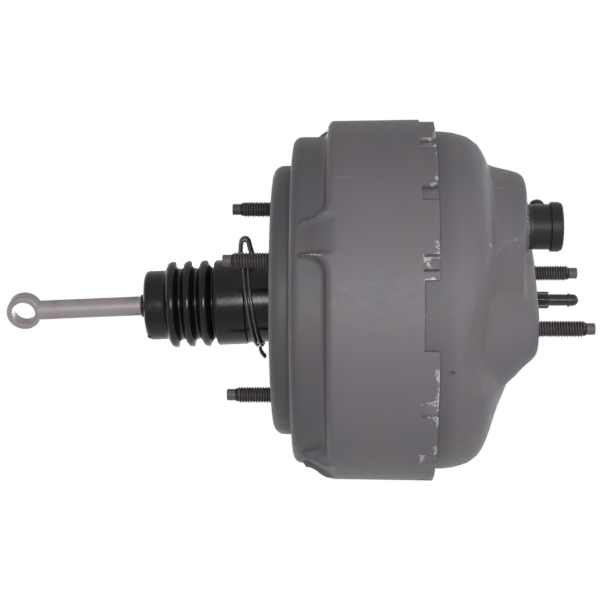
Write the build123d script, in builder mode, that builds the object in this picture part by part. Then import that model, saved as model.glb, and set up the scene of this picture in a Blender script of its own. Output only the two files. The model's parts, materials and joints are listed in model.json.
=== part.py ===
"""Tandem vacuum brake booster, in millimetres.

The origin is the centre of the firewall stud pattern, on the rear mounting face.  +X runs along
the axis towards the master cylinder, +Z is up and -Y is the side that carries the near studs.
Angles round the axis start at -Y and turn towards +Z.
"""

import os
from math import cos, degrees, radians, sin, sqrt, tan

from build123d import *

os.makedirs("parts", exist_ok=True)

# ---------------------------------------------------------------- driving dimensions
# Clearances
seat_gap = 0.1              # between stacked pieces of one body
body_gap = 0.3              # between pieces that move past each other
running = 0.05              # radial clearance of a sliding fit

# Travels, each one measured from rest
piston_stroke = 34.0
plunger_travel = 2.5
poppet_travel = 0.8
valve_lift = 1.8

# Pressed steel shells
sheet = 2.0
case_r = 108.0
rim_flare = 0.7
rim_r = case_r + rim_flare
rim_x = 95.0
pocket_depth = 9.6
pocket_r = case_r - pocket_depth        # wall of the four pockets in the shoulder
stud_spacing = 85.72
rear_plate_r = stud_spacing / sqrt(2) + 9.4     # plate behind the face, past the stud heads
face_r = rear_plate_r + 11.2            # flat mounting face and its side wall
face_edge_r = 6.5
tier_edge_r = 5.5
tier_x = 12.0
pocket_floor_x = tier_x + 20.5
pocket_angle = 78.0
shoulder_start_x = tier_x + 8.4         # conical bridges between the pockets
shoulder_end_x = pocket_floor_x + 5.0
notch_angle = 20.8
notch_start = 8.0
notch_depth = 8.5
tab_first = 33.75
tab_step = 22.5
tab_width = 7.7
tab_length = 8.0
tab_tilt = 12.0
tab_slit = 0.35

body_rear_r = 16.5                      # rear of the valve body, which runs in the neck
neck_r = body_rear_r + 5.9
neck_end_x = -15.0

front_step = 7.2
front_r = rim_r - front_step
front_flange_t = 2.0
pad_x = 154.6                           # master cylinder pad
pad_r = 34.0
pad_ear_r = 19.0                        # ear round each stud
pad_ear_place = 36.0
pad_draft = 34.0
pad_rise = 4.6
lobe_x = pad_x - pad_rise               # raised face that carries the check valve
lobe_r = front_r - 25.5
lobe_half_width = 47.0
lobe_crown_r = 340.0                    # slight crown across the lobe's face
scoop_flank = [(-2.6, -3.4), (9.5, 21.3), (33.1, 29.6), (54.5, 42.0)]  # out from lobe, down
scoop_radii = [15.0, 40.0]
scoop_bend_z = -6.0                     # the scoops run straight above this and fade out below
scoop_fade = 0.26
cone_outer = (pad_x - 29.1, front_r - 14.5)     # where the shoulder meets the shallow cone
cone_inner = (pad_x - 16.6, pad_r + 20.0)

# Studs, 3/8-16
stud_r = 4.76
firewall_reach = 27.2
master_reach = 33.2
dog_r = 3.4
dog_length = 5.0
stud_head_r = 8.0
stud_head_t = 3.6
stud_shoulder_r = stud_r + 0.34         # press-in shoulder that fills the hole
plate_t = 3.0

# Valve body and power piston
body_rear_x = -48.0
hub_x = 17.0
hub_t = 7.0
hub_r = 26.0
body_front_r = 20.0
divider_end_x = rim_x - 14.6
divider_x = divider_end_x - 14.4
nose_x = divider_x + 6.2
nose_r = body_front_r - 2.0
body_front_x = nose_x + 7.8
rear_bore_r = 13.5
rear_bore_x = -4.0
plunger_r = 5.9
socket_bore_r = 9.4
socket_bore_x = 12.0
nose_bore_r = 13.0
nose_bore_x = nose_x - 12.2

# Divider between the two chambers, and the piston plates that its diaphragms roll beside
divider_t = 1.6
divider_bore_r = body_front_r + 5.0
divider_slack = 0.5
divider_skirt_r = front_r - divider_slack
roll_width = 13.0
piston_plate_r = divider_skirt_r - roll_width
piston_plate_t = 2.0
rubber_t = 1.6
plate_flat_r = hub_r + 10.0             # flat of the rear plate round the hub
plate_dish = 5.3
plate_dish_run = 8.0
plate_rim = 9.0
front_plate_rim = 5.5       # shorter, to pass the scoops of the front shell at full stroke
front_plate_x = nose_x + seat_gap

# Output rod
disc_t = 6.0
output_head_r = 12.6
output_head_t = 4.0
output_r = 5.05
output_end_x = pad_x + 10.8
knurl_depth = 0.35
screw_r = 3.5
screw_collar_x = output_end_x + 11.1
screw_collar_r = screw_r + 0.85
screw_collar_t = 1.1
screw_tip_r = screw_r + 0.1
screw_tip_x = screw_collar_x + 6.9

# Pushrod
droop = 2.64                # degrees below the axis, about the ball
ball_x = 1.5
ball_r = 5.5
rod_neck_r = 4.0
rod_neck_x = -12.0
rod_r = 5.8
eye_x = -153.3
eye_bore_r = 7.15
eye_r = eye_bore_r + 3.35
eye_width = 10.0
eye_chamfer = 1.0
eye_mouth = 0.6
wiper_r = rod_r + 1.2

# Boot
boot_wall = 1.5
boot_crests = 3
boot_pitch = 9.65
boot_cup_length = 12.3
boot_sleeve_length = 18.6
boot_sleeve_end_x = -16.3
boot_sleeve_x = boot_sleeve_end_x - boot_sleeve_length
boot_last_root = 1.5         # extra run of the root beside the sleeve
boot_cup_x = boot_sleeve_x - boot_crests * boot_pitch - boot_last_root
boot_end_x = boot_cup_x - boot_cup_length
boot_base_r = neck_r + 3.0
boot_sleeve_r = boot_base_r + 0.7
boot_crest_r = boot_base_r + 1.0
boot_root_r = boot_crest_r - 4.6
boot_cup_r = boot_root_r - 0.5
boot_hole_r = rod_r + 4.7
wiper_x = boot_end_x - 3.6

# Check valve
valve_y = -10.0
valve_z = 50.9
grommet_height = 2.6
valve_body_r = 13.35
valve_body_x = lobe_x + grommet_height
valve_split_x = valve_body_x + 10.0
valve_cap_r = valve_body_r + 1.25
valve_end_x = valve_split_x + 7.1
grommet_r = valve_body_r - 0.15
valve_spigot_r = 6.0
grommet_hole_r = valve_spigot_r + 3.0
valve_seat_r = valve_body_r + 0.6        # flat seat on the crowned lobe
nipple_r = 4.9
nipple_root_r = nipple_r - 1.1           # waist that clears the cap
nipple_x = valve_body_x + nipple_r + 1.1
nipple_reach = 37.5
nipple_bore_r = nipple_r - 2.1


# ---------------------------------------------------------------- helpers
def round_axis(angle, x=0.0, radius=0.0, tilt=0.0):
    """Place on the booster's axis system: local Z points outwards at the given angle."""
    return Location((0, 0, 0), (90 - angle, 0, 0)) * Location((x, 0, radius), (tilt, 0, 0))


def turned(*points, plane=Plane.XZ, axis=Axis.X):
    """Revolve a closed outline of (x, radius) points into the open part."""
    with BuildSketch(plane) as outline:
        with BuildLine():
            Polyline(*points, close=True)
        make_face()
    revolve(outline.sketch, axis=axis)


def ring(x0, x1, inner, outer, plane=Plane.XZ, axis=Axis.X):
    """Add a plain ring between two stations of the axis."""
    turned((x0, inner), (x1, inner), (x1, outer), (x0, outer), plane=plane, axis=axis)


def pressed(points, thickness, radius, side, plane=Plane.XZ, axis=Axis.X):
    """Revolve a sheet of even thickness that follows a path of (x, radius) points."""
    with BuildSketch(plane) as outline:
        with BuildLine():
            FilletPolyline(*points, radius=radius)
            offset(amount=thickness, side=side)
        make_face()
    revolve(outline.sketch, axis=axis)


def coil(x0, x1, radius, wire, turns):
    """Sweep a round wire along a helix whose axis is X."""
    with BuildLine() as path:
        Helix(pitch=(x1 - x0) / turns, height=x1 - x0, radius=radius, center=(x0, 0, 0),
              direction=(1, 0, 0))
    with BuildSketch(Plane(path.line @ 0, z_dir=path.line % 0)) as section:
        Circle(wire)
    sweep(section.sketch, path=path.line, is_frenet=True)


def above_axis(length, radius):
    """Keep only the upper half of the open sketch in the XZ plane."""
    with Locations((length / 2, radius / 2)):
        Rectangle(length * 2, radius, mode=Mode.INTERSECT)


# ---------------------------------------------------------------- rear shell
def rear_form(inset):
    """Solid form of the rear shell, moved inwards by inset for its inner side."""
    below = -40.0
    open_x = rim_x + (10.0 if inset else 0.0)
    with BuildPart() as form:
        with BuildSketch(Plane.XZ):
            with BuildLine():
                outline = FilletPolyline(
                    (0, below), (0, face_r), (tier_x, face_r), (tier_x, pocket_r),
                    (shoulder_start_x, pocket_r), (shoulder_end_x, case_r), (open_x, rim_r),
                    radius=[face_edge_r, 1.6, tier_edge_r, 3.0, 6.0])
                Polyline(outline @ 1, (open_x, below), outline @ 0)
            make_face()
            if inset:
                offset(amount=-inset, mode=Mode.REPLACE)
            above_axis(open_x + inset, rim_r + 10)
        revolve(axis=Axis.X)
    with BuildPart() as pocket:
        with BuildSketch(Plane.XZ):
            with BuildLine():
                step = FilletPolyline(
                    (shoulder_start_x - 8, pocket_r), (pocket_floor_x, pocket_r),
                    (pocket_floor_x, case_r + 0.2), (pocket_floor_x + 8, case_r + 0.2),
                    radius=[3.0, 4.0])
                Polyline(step @ 1, (pocket_floor_x + 8, rim_r + 12),
                         (shoulder_start_x - 8, rim_r + 12), step @ 0)
            make_face()
            if inset:
                offset(amount=inset, mode=Mode.REPLACE)
        widen = degrees(2 * inset / pocket_r)
        revolve(axis=Axis.X, revolution_arc=pocket_angle + widen)
    with BuildPart() as result:
        add(form.part)
        for quarter in range(4):
            turn = 90 * quarter - (pocket_angle + widen) / 2
            add(pocket.part.rotate(Axis.X, turn), mode=Mode.SUBTRACT)
    return result.part


rear_outer = rear_form(0.0)
rear_inner = rear_form(sheet)
tab_x = rim_x - tab_length / 2
tab_angles = [tab_first + tab_step * n + 90 * quarter for quarter in range(4) for n in range(3)]
notch_width = 2 * rim_r * sin(radians(notch_angle / 2))
stud_hole_r = stud_shoulder_r + seat_gap

with BuildPart() as rear_shell:
    add(rear_outer)
    add(rear_inner, mode=Mode.SUBTRACT)
    with Locations(Location((0, 0, 0), (0, 90, 0))):
        Cylinder(neck_r + seat_gap, 8 * sheet, mode=Mode.SUBTRACT)
    with BuildSketch(Plane.YZ.offset(-sheet)):
        with GridLocations(stud_spacing, stud_spacing, 2, 2):
            Circle(stud_hole_r)
    extrude(amount=3 * sheet, mode=Mode.SUBTRACT)
    with Locations(*[round_axis(notch_start + notch_angle / 2 + 90 * q, rim_x, rim_r)
                     for q in range(4)]):
        Box(2 * notch_depth, notch_width, 6 * sheet, mode=Mode.SUBTRACT)
    with Locations(*[round_axis(angle, tab_x + 1, rim_r - sheet / 2) for angle in tab_angles]):
        Box(tab_length + 2, tab_width + 2 * tab_slit, 5 * sheet, mode=Mode.SUBTRACT)
    with Locations(*[round_axis(angle, tab_x - 0.5, rim_r - sheet / 2, -tab_tilt)
                     for angle in tab_angles]):
        Box(tab_length + 1, tab_width, sheet)
rear_shell.part.label = "rear_shell"
export_step(rear_shell.part, "parts/rear_shell.step")

with BuildPart() as neck_sleeve:
    ring(neck_end_x, sheet, neck_r - sheet, neck_r)
    chamfer(neck_sleeve.edges().group_by(Axis.X)[0], sheet / 4)
neck_sleeve.part.label = "neck_sleeve"
export_step(neck_sleeve.part, "parts/neck_sleeve.step")

# ---------------------------------------------------------------- front shell
front_back_x = rim_x - notch_depth - seat_gap     # front side of the hidden flange
front_flange_r = rim_r - sheet - tab_width / 2 * sin(radians(tab_tilt)) - 4 * seat_gap


def scoop(side, inset):
    """Form pressed into one side of the dome, from the lobe's edge out to the case."""
    clear_x, clear_y = 30, front_r + 20
    bend = (cone_outer[0], 0, scoop_bend_z)
    rising = Plane(origin=bend, x_dir=(1, 0, 0), z_dir=(0, 0, 1))
    fading = Plane(origin=bend, x_dir=(1, 0, scoop_fade), z_dir=(scoop_fade, 0, -1))
    with BuildPart() as form:
        for plane in (rising, fading):
            with BuildSketch(plane) as section:
                with BuildLine():
                    corners = [(lobe_x - down - bend[0], side * (lobe_half_width + out))
                               for out, down in scoop_flank]
                    flank = FilletPolyline(*corners, radius=scoop_radii)
                    Polyline(flank @ 1, (corners[-1][0], side * clear_y),
                             (clear_x + lobe_x - bend[0], side * clear_y),
                             (clear_x + lobe_x - bend[0], corners[0][1]), flank @ 0)
                make_face()
                if inset:
                    offset(amount=inset, mode=Mode.REPLACE)
            extrude(section.sketch, amount=clear_y)
            side = -side
    return form.part


def pad_outline(inset):
    """Draw the pad's outline, a disc with an ear round each stud, moved inwards by inset."""
    Circle(pad_r - inset)
    with GridLocations(2 * pad_ear_place, 0, 2, 1):
        Circle(pad_ear_r - inset)
    make_hull()


def front_form(inset):
    """Solid form of the front shell, moved inwards by inset for its inner side."""
    below = -40.0
    start_x = front_back_x - (10.0 if inset else 0.0)
    with BuildPart() as form:
        with BuildSketch(Plane.XZ):
            with BuildLine():
                outline = FilletPolyline(
                    (start_x, front_r), (cone_outer[0] - 6, front_r), cone_outer, cone_inner,
                    (cone_inner[0] + 4, cone_inner[1] - 14), (cone_inner[0] + 4, below),
                    radius=[11.0, 9.0, 6.0, 1.0])
                Polyline(outline @ 1, (start_x, below), outline @ 0)
            make_face()
            if inset:
                offset(amount=-inset, mode=Mode.REPLACE)
            above_axis(400, 200)
        revolve(axis=Axis.X)
        # Raised lobe above the master cylinder pad, wider at its foot.
        with BuildSketch(Plane.YZ.offset(lobe_x - inset)) as lobe:
            Circle(lobe_r - inset * 1.1)
            with Locations((0, lobe_r / 2)):
                Rectangle(2 * (lobe_half_width - inset), lobe_r, mode=Mode.INTERSECT)
            fillet(lobe.vertices().group_by(Axis.Y)[-1], 9.0 - inset)
        extrude(amount=-(lobe_x - inset - cone_outer[0] + 8), taper=-11)
        # The lobe's face is crowned, with a flat seat for the check valve.
        with BuildSketch(Plane.XY.offset(-2 * front_r)):
            with Locations((lobe_x - lobe_crown_r, 0)):
                Circle(lobe_crown_r - inset)
        extrude(amount=4 * front_r, mode=Mode.INTERSECT)
        with BuildSketch(Plane.YZ.offset(lobe_x - inset)):
            with Locations((valve_y, valve_z)):
                Circle(valve_seat_r - inset)
        extrude(amount=-3 * sheet)
        for side in (-1, 1):
            add(scoop(side, inset), mode=Mode.SUBTRACT)
        # Eared pad for the master cylinder, drafted down to the cone.
        with BuildSketch(Plane.YZ.offset(pad_x - inset)):
            pad_outline(inset * tan(radians(pad_draft)))
        extrude(amount=-(pad_x - inset - cone_inner[0] + 14), taper=-pad_draft)
    return form


front_outer = front_form(0.0)
front_inner = front_form(sheet)
front_hole_r = 13.0
master_plane = Plane(origin=(pad_x, 0, 0), x_dir=(0, 1, 0), z_dir=(1, 0, 0))
valve_plane = Plane(origin=(0, valve_y, valve_z), x_dir=(1, 0, 0), z_dir=(0, -1, 0))
valve_axis = Axis((0, valve_y, valve_z), (1, 0, 0))

with BuildPart() as front_shell:
    add(front_outer.part)
    add(front_inner.part, mode=Mode.SUBTRACT)
    ring(front_back_x - front_flange_t, front_back_x, front_r - sheet, front_flange_r)
    with BuildSketch(master_plane):
        Circle(front_hole_r)
        with GridLocations(stud_spacing, 0, 2, 1):
            Circle(stud_hole_r)
    extrude(amount=-4 * sheet, mode=Mode.SUBTRACT)
    with BuildSketch(Plane.YZ.offset(lobe_x)):
        with Locations((valve_y, valve_z)):
            Circle(grommet_hole_r)
    extrude(amount=-4 * sheet, mode=Mode.SUBTRACT)
front_shell.part.label = "front_shell"
export_step(front_shell.part, "parts/front_shell.step")

# ---------------------------------------------------------------- studs and backing plates
firewall_plane = Plane(origin=(0, 0, 0), x_dir=(0, 1, 0), z_dir=(-1, 0, 0))
stud_grip = sheet + plate_t + 2 * seat_gap


def stud(reach):
    """Stud that points along +Z from its mating face, with its head behind the grip."""
    with BuildPart() as blank:
        turned((0, -stud_grip - stud_head_t), (stud_head_r, -stud_grip - stud_head_t),
               (stud_head_r, -stud_grip), (stud_shoulder_r, -stud_grip),
               (stud_shoulder_r, -seat_gap), (stud_r, -seat_gap),
               (stud_r, reach - dog_length - 1.4),
               (dog_r, reach - dog_length), (dog_r, reach - 0.5), (dog_r - 0.5, reach),
               (0, reach), axis=Axis.Z)
    return blank.part


with BuildPart(firewall_plane) as firewall_studs:
    with GridLocations(stud_spacing, stud_spacing, 2, 2):
        add(stud(firewall_reach))
firewall_studs.part.label = "firewall_studs"
export_step(firewall_studs.part, "parts/firewall_studs.step")

with BuildPart(master_plane) as master_cylinder_studs:
    with GridLocations(stud_spacing, 0, 2, 1):
        add(stud(master_reach))
master_cylinder_studs.part.label = "master_cylinder_studs"
export_step(master_cylinder_studs.part, "parts/master_cylinder_studs.step")

with BuildPart() as stud_backing_plate:
    with BuildSketch(Plane.YZ.offset(sheet + seat_gap)):
        Circle(rear_plate_r)
        Circle(neck_r + 4, mode=Mode.SUBTRACT)
        with GridLocations(stud_spacing, stud_spacing, 2, 2):
            Circle(stud_hole_r, mode=Mode.SUBTRACT)
    extrude(amount=plate_t)
stud_backing_plate.part.label = "stud_backing_plate"
export_step(stud_backing_plate.part, "parts/stud_backing_plate.step")

front_plate_back_x = pad_x - sheet - seat_gap - plate_t
front_plate_hole_r = 18.0
with BuildPart() as front_backing_plate:
    with BuildSketch(Plane.YZ.offset(front_plate_back_x)):
        pad_outline(2 * sheet + 1)
        Circle(front_plate_hole_r, mode=Mode.SUBTRACT)
        with GridLocations(stud_spacing, 0, 2, 1):
            Circle(stud_hole_r, mode=Mode.SUBTRACT)
    extrude(amount=plate_t)
front_backing_plate.part.label = "front_backing_plate"
export_step(front_backing_plate.part, "parts/front_backing_plate.step")

# ---------------------------------------------------------------- seals in the shells
neck_bore_r = neck_r - sheet
seal_outer_r = neck_bore_r - seat_gap
seal_back_x = neck_end_x + 3
seal_front_x = seal_back_x + 7
lip_r = body_rear_r + running
lip_groove = (seal_outer_r - lip_r) / 3

with BuildPart() as neck_seal:
    turned((seal_back_x, lip_r), (seal_front_x, lip_r), (seal_front_x, lip_r + lip_groove),
           (seal_front_x - 3, lip_r + 1.4 * lip_groove),
           (seal_front_x - 3, seal_outer_r - 1.4 * lip_groove),
           (seal_front_x, seal_outer_r - lip_groove), (seal_front_x, seal_outer_r),
           (seal_back_x, seal_outer_r))
neck_seal.part.label = "neck_seal"
export_step(neck_seal.part, "parts/neck_seal.step")

with BuildPart() as neck_seal_retainer:
    turned((seal_front_x + seat_gap, body_rear_r + body_gap),
           (sheet + seat_gap + 1.2, body_rear_r + body_gap),
           (sheet + seat_gap + 1.2, neck_r + 2), (sheet + seat_gap, neck_r + 2),
           (sheet + seat_gap, seal_outer_r), (seal_front_x + seat_gap, seal_outer_r))
neck_seal_retainer.part.label = "neck_seal_retainer"
export_step(neck_seal_retainer.part, "parts/neck_seal_retainer.step")

front_lip_r = output_r + running
with BuildPart() as front_seal:
    turned((front_plate_back_x + seat_gap, front_lip_r), (pad_x + 1.6, front_lip_r),
           (pad_x + 1.6, front_hole_r - 1.2), (pad_x + 0.6, front_hole_r - seat_gap),
           (pad_x - sheet - seat_gap, front_hole_r - seat_gap),
           (pad_x - sheet - seat_gap, front_plate_hole_r - 1.5),
           (front_plate_back_x + seat_gap, front_plate_hole_r - 1.5))
front_seal.part.label = "front_seal"
export_step(front_seal.part, "parts/front_seal.step")

with BuildPart() as front_seal_retainer:
    ring(front_plate_back_x - seat_gap - 1.5, front_plate_back_x - seat_gap,
         output_r + 2, front_plate_hole_r + 3)
front_seal_retainer.part.label = "front_seal_retainer"
export_step(front_seal_retainer.part, "parts/front_seal_retainer.step")

# ---------------------------------------------------------------- divider and its seal
with BuildPart() as divider_plate:
    pressed([(divider_x, divider_bore_r), (divider_x, divider_skirt_r - 5),
             (divider_x + 5, divider_skirt_r), (divider_end_x, divider_skirt_r)],
            divider_t, 2.2, Side.RIGHT)
divider_plate.part.label = "divider_plate"
export_step(divider_plate.part, "parts/divider_plate.step")

divider_lip_r = body_front_r + running
with BuildPart() as divider_seal:
    turned((divider_x - 2.8, divider_lip_r), (divider_x + divider_t + 2, divider_lip_r),
           (divider_x + divider_t + 2, divider_bore_r - seat_gap),
           (divider_x - seat_gap, divider_bore_r - seat_gap),
           (divider_x - seat_gap, divider_bore_r + 2), (divider_x - 2.8, divider_bore_r + 2))
divider_seal.part.label = "divider_seal"
export_step(divider_seal.part, "parts/divider_seal.step")

# ---------------------------------------------------------------- valve body
plunger_bore_r = plunger_r + running
key_x = 30.2
key_t = 2.0
key_width = 14.0
key_foot = -9.5
with BuildPart() as valve_body:
    turned((body_rear_x, rear_bore_r), (body_rear_x, body_rear_r), (hub_x, body_rear_r),
           (hub_x, hub_r), (hub_x + hub_t, hub_r), (hub_x + hub_t, body_front_r),
           (nose_x, body_front_r), (nose_x, nose_r), (body_front_x, nose_r),
           (body_front_x, nose_bore_r), (nose_bore_x, nose_bore_r),
           (nose_bore_x, plunger_bore_r), (socket_bore_x, plunger_bore_r),
           (socket_bore_x, socket_bore_r), (rear_bore_x, socket_bore_r),
           (rear_bore_x, rear_bore_r))
    with Locations((key_x, 0, (key_foot + body_front_r) / 2 - seat_gap)):
        Box(key_t + 2 * seat_gap, key_width + 2 * seat_gap, body_front_r - key_foot + 2 * seat_gap,
            mode=Mode.SUBTRACT)
valve_body.part.label = "valve_body"
export_step(valve_body.part, "parts/valve_body.step")

key_core_r = 3.8
with BuildPart() as lock_key:
    with BuildSketch(Plane.YZ.offset(key_x - key_t / 2)):
        with Locations((0, (key_foot + body_front_r) / 2 - 3 * seat_gap)):
            Rectangle(key_width, body_front_r - key_foot - 6 * seat_gap)
        Circle(key_core_r + body_gap, mode=Mode.SUBTRACT)
        with Locations((0, key_foot / 2)):
            Rectangle(2 * (key_core_r + body_gap), -key_foot, mode=Mode.SUBTRACT)
        Circle(body_front_r - 2 * seat_gap, mode=Mode.INTERSECT)
    extrude(amount=key_t)
lock_key.part.label = "lock_key"
export_step(lock_key.part, "parts/lock_key.step")

# ---------------------------------------------------------------- piston plates and diaphragms
rear_plate_hub_x = hub_x + hub_t + seat_gap
rear_plate_x = rear_plate_hub_x - plate_dish
plate_dish_r = plate_flat_r + plate_dish_run
plate_path = [(rear_plate_hub_x, body_front_r + seat_gap), (rear_plate_hub_x, plate_flat_r),
              (rear_plate_x, plate_dish_r), (rear_plate_x, piston_plate_r),
              (rear_plate_x + plate_rim, piston_plate_r)]
with BuildPart() as rear_piston_plate:
    pressed(plate_path, piston_plate_t, 2.6, Side.RIGHT)
rear_piston_plate.part.label = "rear_piston_plate"
export_step(rear_piston_plate.part, "parts/rear_piston_plate.step")

skin = 2 * seat_gap
roll_r = rim_r - sheet - 0.6 - rubber_t - 0.3
bead_x = divider_x + 5.5
with BuildPart() as rear_diaphragm:
    pressed([(rear_plate_hub_x - skin, hub_r + seat_gap),
             (rear_plate_hub_x - skin, plate_flat_r - skin),
             (rear_plate_x - skin, plate_dish_r - skin),
             (rear_plate_x - skin, piston_plate_r + skin),
             (rear_plate_x + plate_rim + 2, piston_plate_r + skin),
             (pocket_floor_x + 13, roll_r), (bead_x + 1, roll_r)],
            rubber_t, 2.2, Side.LEFT)
    ring(bead_x, bead_x + 8, divider_skirt_r + seat_gap, roll_r + rubber_t)
rear_diaphragm.part.label = "rear_diaphragm"
export_step(rear_diaphragm.part, "parts/rear_diaphragm.step")

with BuildPart() as front_piston_plate:
    pressed([(front_plate_x, nose_r + seat_gap), (front_plate_x, piston_plate_r),
             (front_plate_x + front_plate_rim, piston_plate_r)], piston_plate_t, 2.6, Side.RIGHT)
front_piston_plate.part.label = "front_piston_plate"
export_step(front_piston_plate.part, "parts/front_piston_plate.step")

front_bead_x = divider_end_x + 3 * seat_gap
front_bead_end = front_back_x - front_flange_t - skin
fold_x = front_bead_x + rubber_t + 0.4
fold_rise = 4.0
with BuildPart() as front_diaphragm:
    pressed([(front_plate_x - skin, body_front_r + skin),
             (front_plate_x - skin, piston_plate_r + skin), (fold_x - 1, piston_plate_r + skin),
             (fold_x, piston_plate_r + fold_rise), (fold_x, divider_skirt_r - 2)],
            rubber_t, 0.6, Side.LEFT)
    ring(front_bead_x, front_bead_end, divider_skirt_r - 3.5, roll_r + rubber_t)
front_diaphragm.part.label = "front_diaphragm"
export_step(front_diaphragm.part, "parts/front_diaphragm.step")

with BuildPart() as plate_retainer:
    ring(front_plate_x + piston_plate_t + seat_gap, front_plate_x + piston_plate_t + 3,
         nose_r + seat_gap, nose_r + 6)
plate_retainer.part.label = "plate_retainer"
export_step(plate_retainer.part, "parts/plate_retainer.step")

spring_wire = 1.75
with BuildPart() as return_spring:
    coil(front_plate_x + piston_plate_t + spring_wire + 2 * seat_gap,
         front_plate_back_x - spring_wire - 2 * seat_gap, 28.0, spring_wire, 5)
return_spring.part.label = "return_spring"
export_step(return_spring.part, "parts/return_spring.step")

# ---------------------------------------------------------------- reaction disc and output rod
output_head_x = nose_bore_x + disc_t + 2 * seat_gap
with BuildPart() as reaction_disc:
    ring(nose_bore_x + seat_gap, nose_bore_x + seat_gap + disc_t, 0, nose_bore_r - 2 * seat_gap)
reaction_disc.part.label = "reaction_disc"
export_step(reaction_disc.part, "parts/reaction_disc.step")

screw_end_x = output_end_x - 17
screw_bore_r = screw_r + seat_gap
knurl_count = 20
knurl_length = 7.0
with BuildPart() as output_rod:
    turned((output_head_x, 0), (output_head_x, output_head_r),
           (output_head_x + output_head_t, output_head_r),
           (output_head_x + output_head_t, output_r), (output_end_x - 0.4, output_r),
           (output_end_x, output_r - 0.4), (output_end_x, screw_bore_r),
           (screw_end_x - seat_gap, screw_bore_r), (screw_end_x - seat_gap, 0))
    with BuildSketch(Plane.YZ.offset(output_end_x)):
        with PolarLocations(output_r, knurl_count):
            Rectangle(2 * knurl_depth, 2 * knurl_depth, rotation=45)
    extrude(amount=-knurl_length, mode=Mode.SUBTRACT)
output_rod.part.label = "output_rod"
export_step(output_rod.part, "parts/output_rod.step")

with BuildPart() as adjusting_screw:
    with BuildSketch(Plane.XZ):
        with BuildLine():
            shank = Polyline((screw_tip_x - screw_tip_r, screw_tip_r),
                             (screw_collar_x + screw_collar_t, screw_tip_r),
                             (screw_collar_x + screw_collar_t, screw_collar_r),
                             (screw_collar_x, screw_collar_r), (screw_collar_x, screw_r),
                             (screw_end_x, screw_r), (screw_end_x, 0), (screw_tip_x, 0))
            RadiusArc(shank @ 1, shank @ 0, -screw_tip_r)
        make_face()
    revolve(axis=Axis.X)
adjusting_screw.part.label = "adjusting_screw"
export_step(adjusting_screw.part, "parts/adjusting_screw.step")

with BuildPart() as reaction_retainer:
    clip_x = output_head_x + output_head_t + seat_gap
    ring(clip_x, clip_x + 1.6, output_r + 1.5, nose_bore_r - seat_gap)
reaction_retainer.part.label = "reaction_retainer"
export_step(reaction_retainer.part, "parts/reaction_retainer.step")

# ---------------------------------------------------------------- control valve
seat_x = rear_bore_x - 0.1
poppet_front_x = seat_x - poppet_travel - body_gap
poppet_t = 2.8
socket_r = ball_r + body_gap
with BuildPart() as valve_plunger:
    turned((seat_x, 7.4), (seat_x, 8.6), (socket_bore_x - plunger_travel - body_gap, 8.6),
           (socket_bore_x - plunger_travel - body_gap, plunger_r),
           (key_x - 4.2, plunger_r), (key_x - 4.2, key_core_r),
           (key_x + 3, key_core_r), (key_x + 3, plunger_r),
           (nose_bore_x - plunger_travel - body_gap, plunger_r),
           (nose_bore_x - plunger_travel - body_gap, 0), (ball_x - 3.4, 0), (ball_x - 3.4, 7.4))
    with Locations((ball_x, 0, 0)):
        Sphere(socket_r, mode=Mode.SUBTRACT)
valve_plunger.part.label = "valve_plunger"
export_step(valve_plunger.part, "parts/valve_plunger.step")

with BuildPart() as valve_poppet:
    ring(poppet_front_x - poppet_t, poppet_front_x, 6.2, 12.4)
valve_poppet.part.label = "valve_poppet"
export_step(valve_poppet.part, "parts/valve_poppet.step")

retainer_x = -24.0
retainer_t = 3.7
sleeve_end_x = poppet_front_x - poppet_t - body_gap
with BuildPart() as poppet_sleeve:
    turned((retainer_x + retainer_t + seat_gap, 10.0), (sleeve_end_x, 10.0), (sleeve_end_x, 11.2),
           (retainer_x + retainer_t + 2, 11.2), (retainer_x + retainer_t + 2, rear_bore_r - seat_gap),
           (retainer_x + retainer_t + seat_gap, rear_bore_r - seat_gap))
poppet_sleeve.part.label = "poppet_sleeve"
export_step(poppet_sleeve.part, "parts/poppet_sleeve.step")

with BuildPart() as poppet_retainer:
    turned((retainer_x, 9.0), (retainer_x + 1.8, 9.0), (retainer_x + 1.8, 11.6),
           (retainer_x + retainer_t, 11.6), (retainer_x + retainer_t, rear_bore_r - seat_gap),
           (retainer_x, rear_bore_r - seat_gap))
poppet_retainer.part.label = "poppet_retainer"
export_step(poppet_retainer.part, "parts/poppet_retainer.step")

poppet_wire = 0.5
with BuildPart() as poppet_spring:
    coil(retainer_x + 1.8 + poppet_wire + seat_gap, sleeve_end_x + body_gap - poppet_wire - seat_gap,
         9.3, poppet_wire, 3)
poppet_spring.part.label = "poppet_spring"
export_step(poppet_spring.part, "parts/poppet_spring.step")

valve_wire = 0.7
cup_x = -36.5
with BuildPart() as valve_return_spring:
    coil(cup_x + 1.9, retainer_x - valve_wire - seat_gap, 9.9, valve_wire, 3)
valve_return_spring.part.label = "valve_return_spring"
export_step(valve_return_spring.part, "parts/valve_return_spring.step")

filter_bore_r = 8.9
with BuildPart() as air_filter:
    ring(body_rear_x + 1.2, body_rear_x + 5, filter_bore_r, rear_bore_r - seat_gap)
air_filter.part.label = "air_filter"
export_step(air_filter.part, "parts/air_filter.step")

with BuildPart() as air_silencer:
    ring(body_rear_x + 5 + seat_gap, body_rear_x + 8.6, filter_bore_r, rear_bore_r - seat_gap)
air_silencer.part.label = "air_silencer"
export_step(air_silencer.part, "parts/air_silencer.step")

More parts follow.
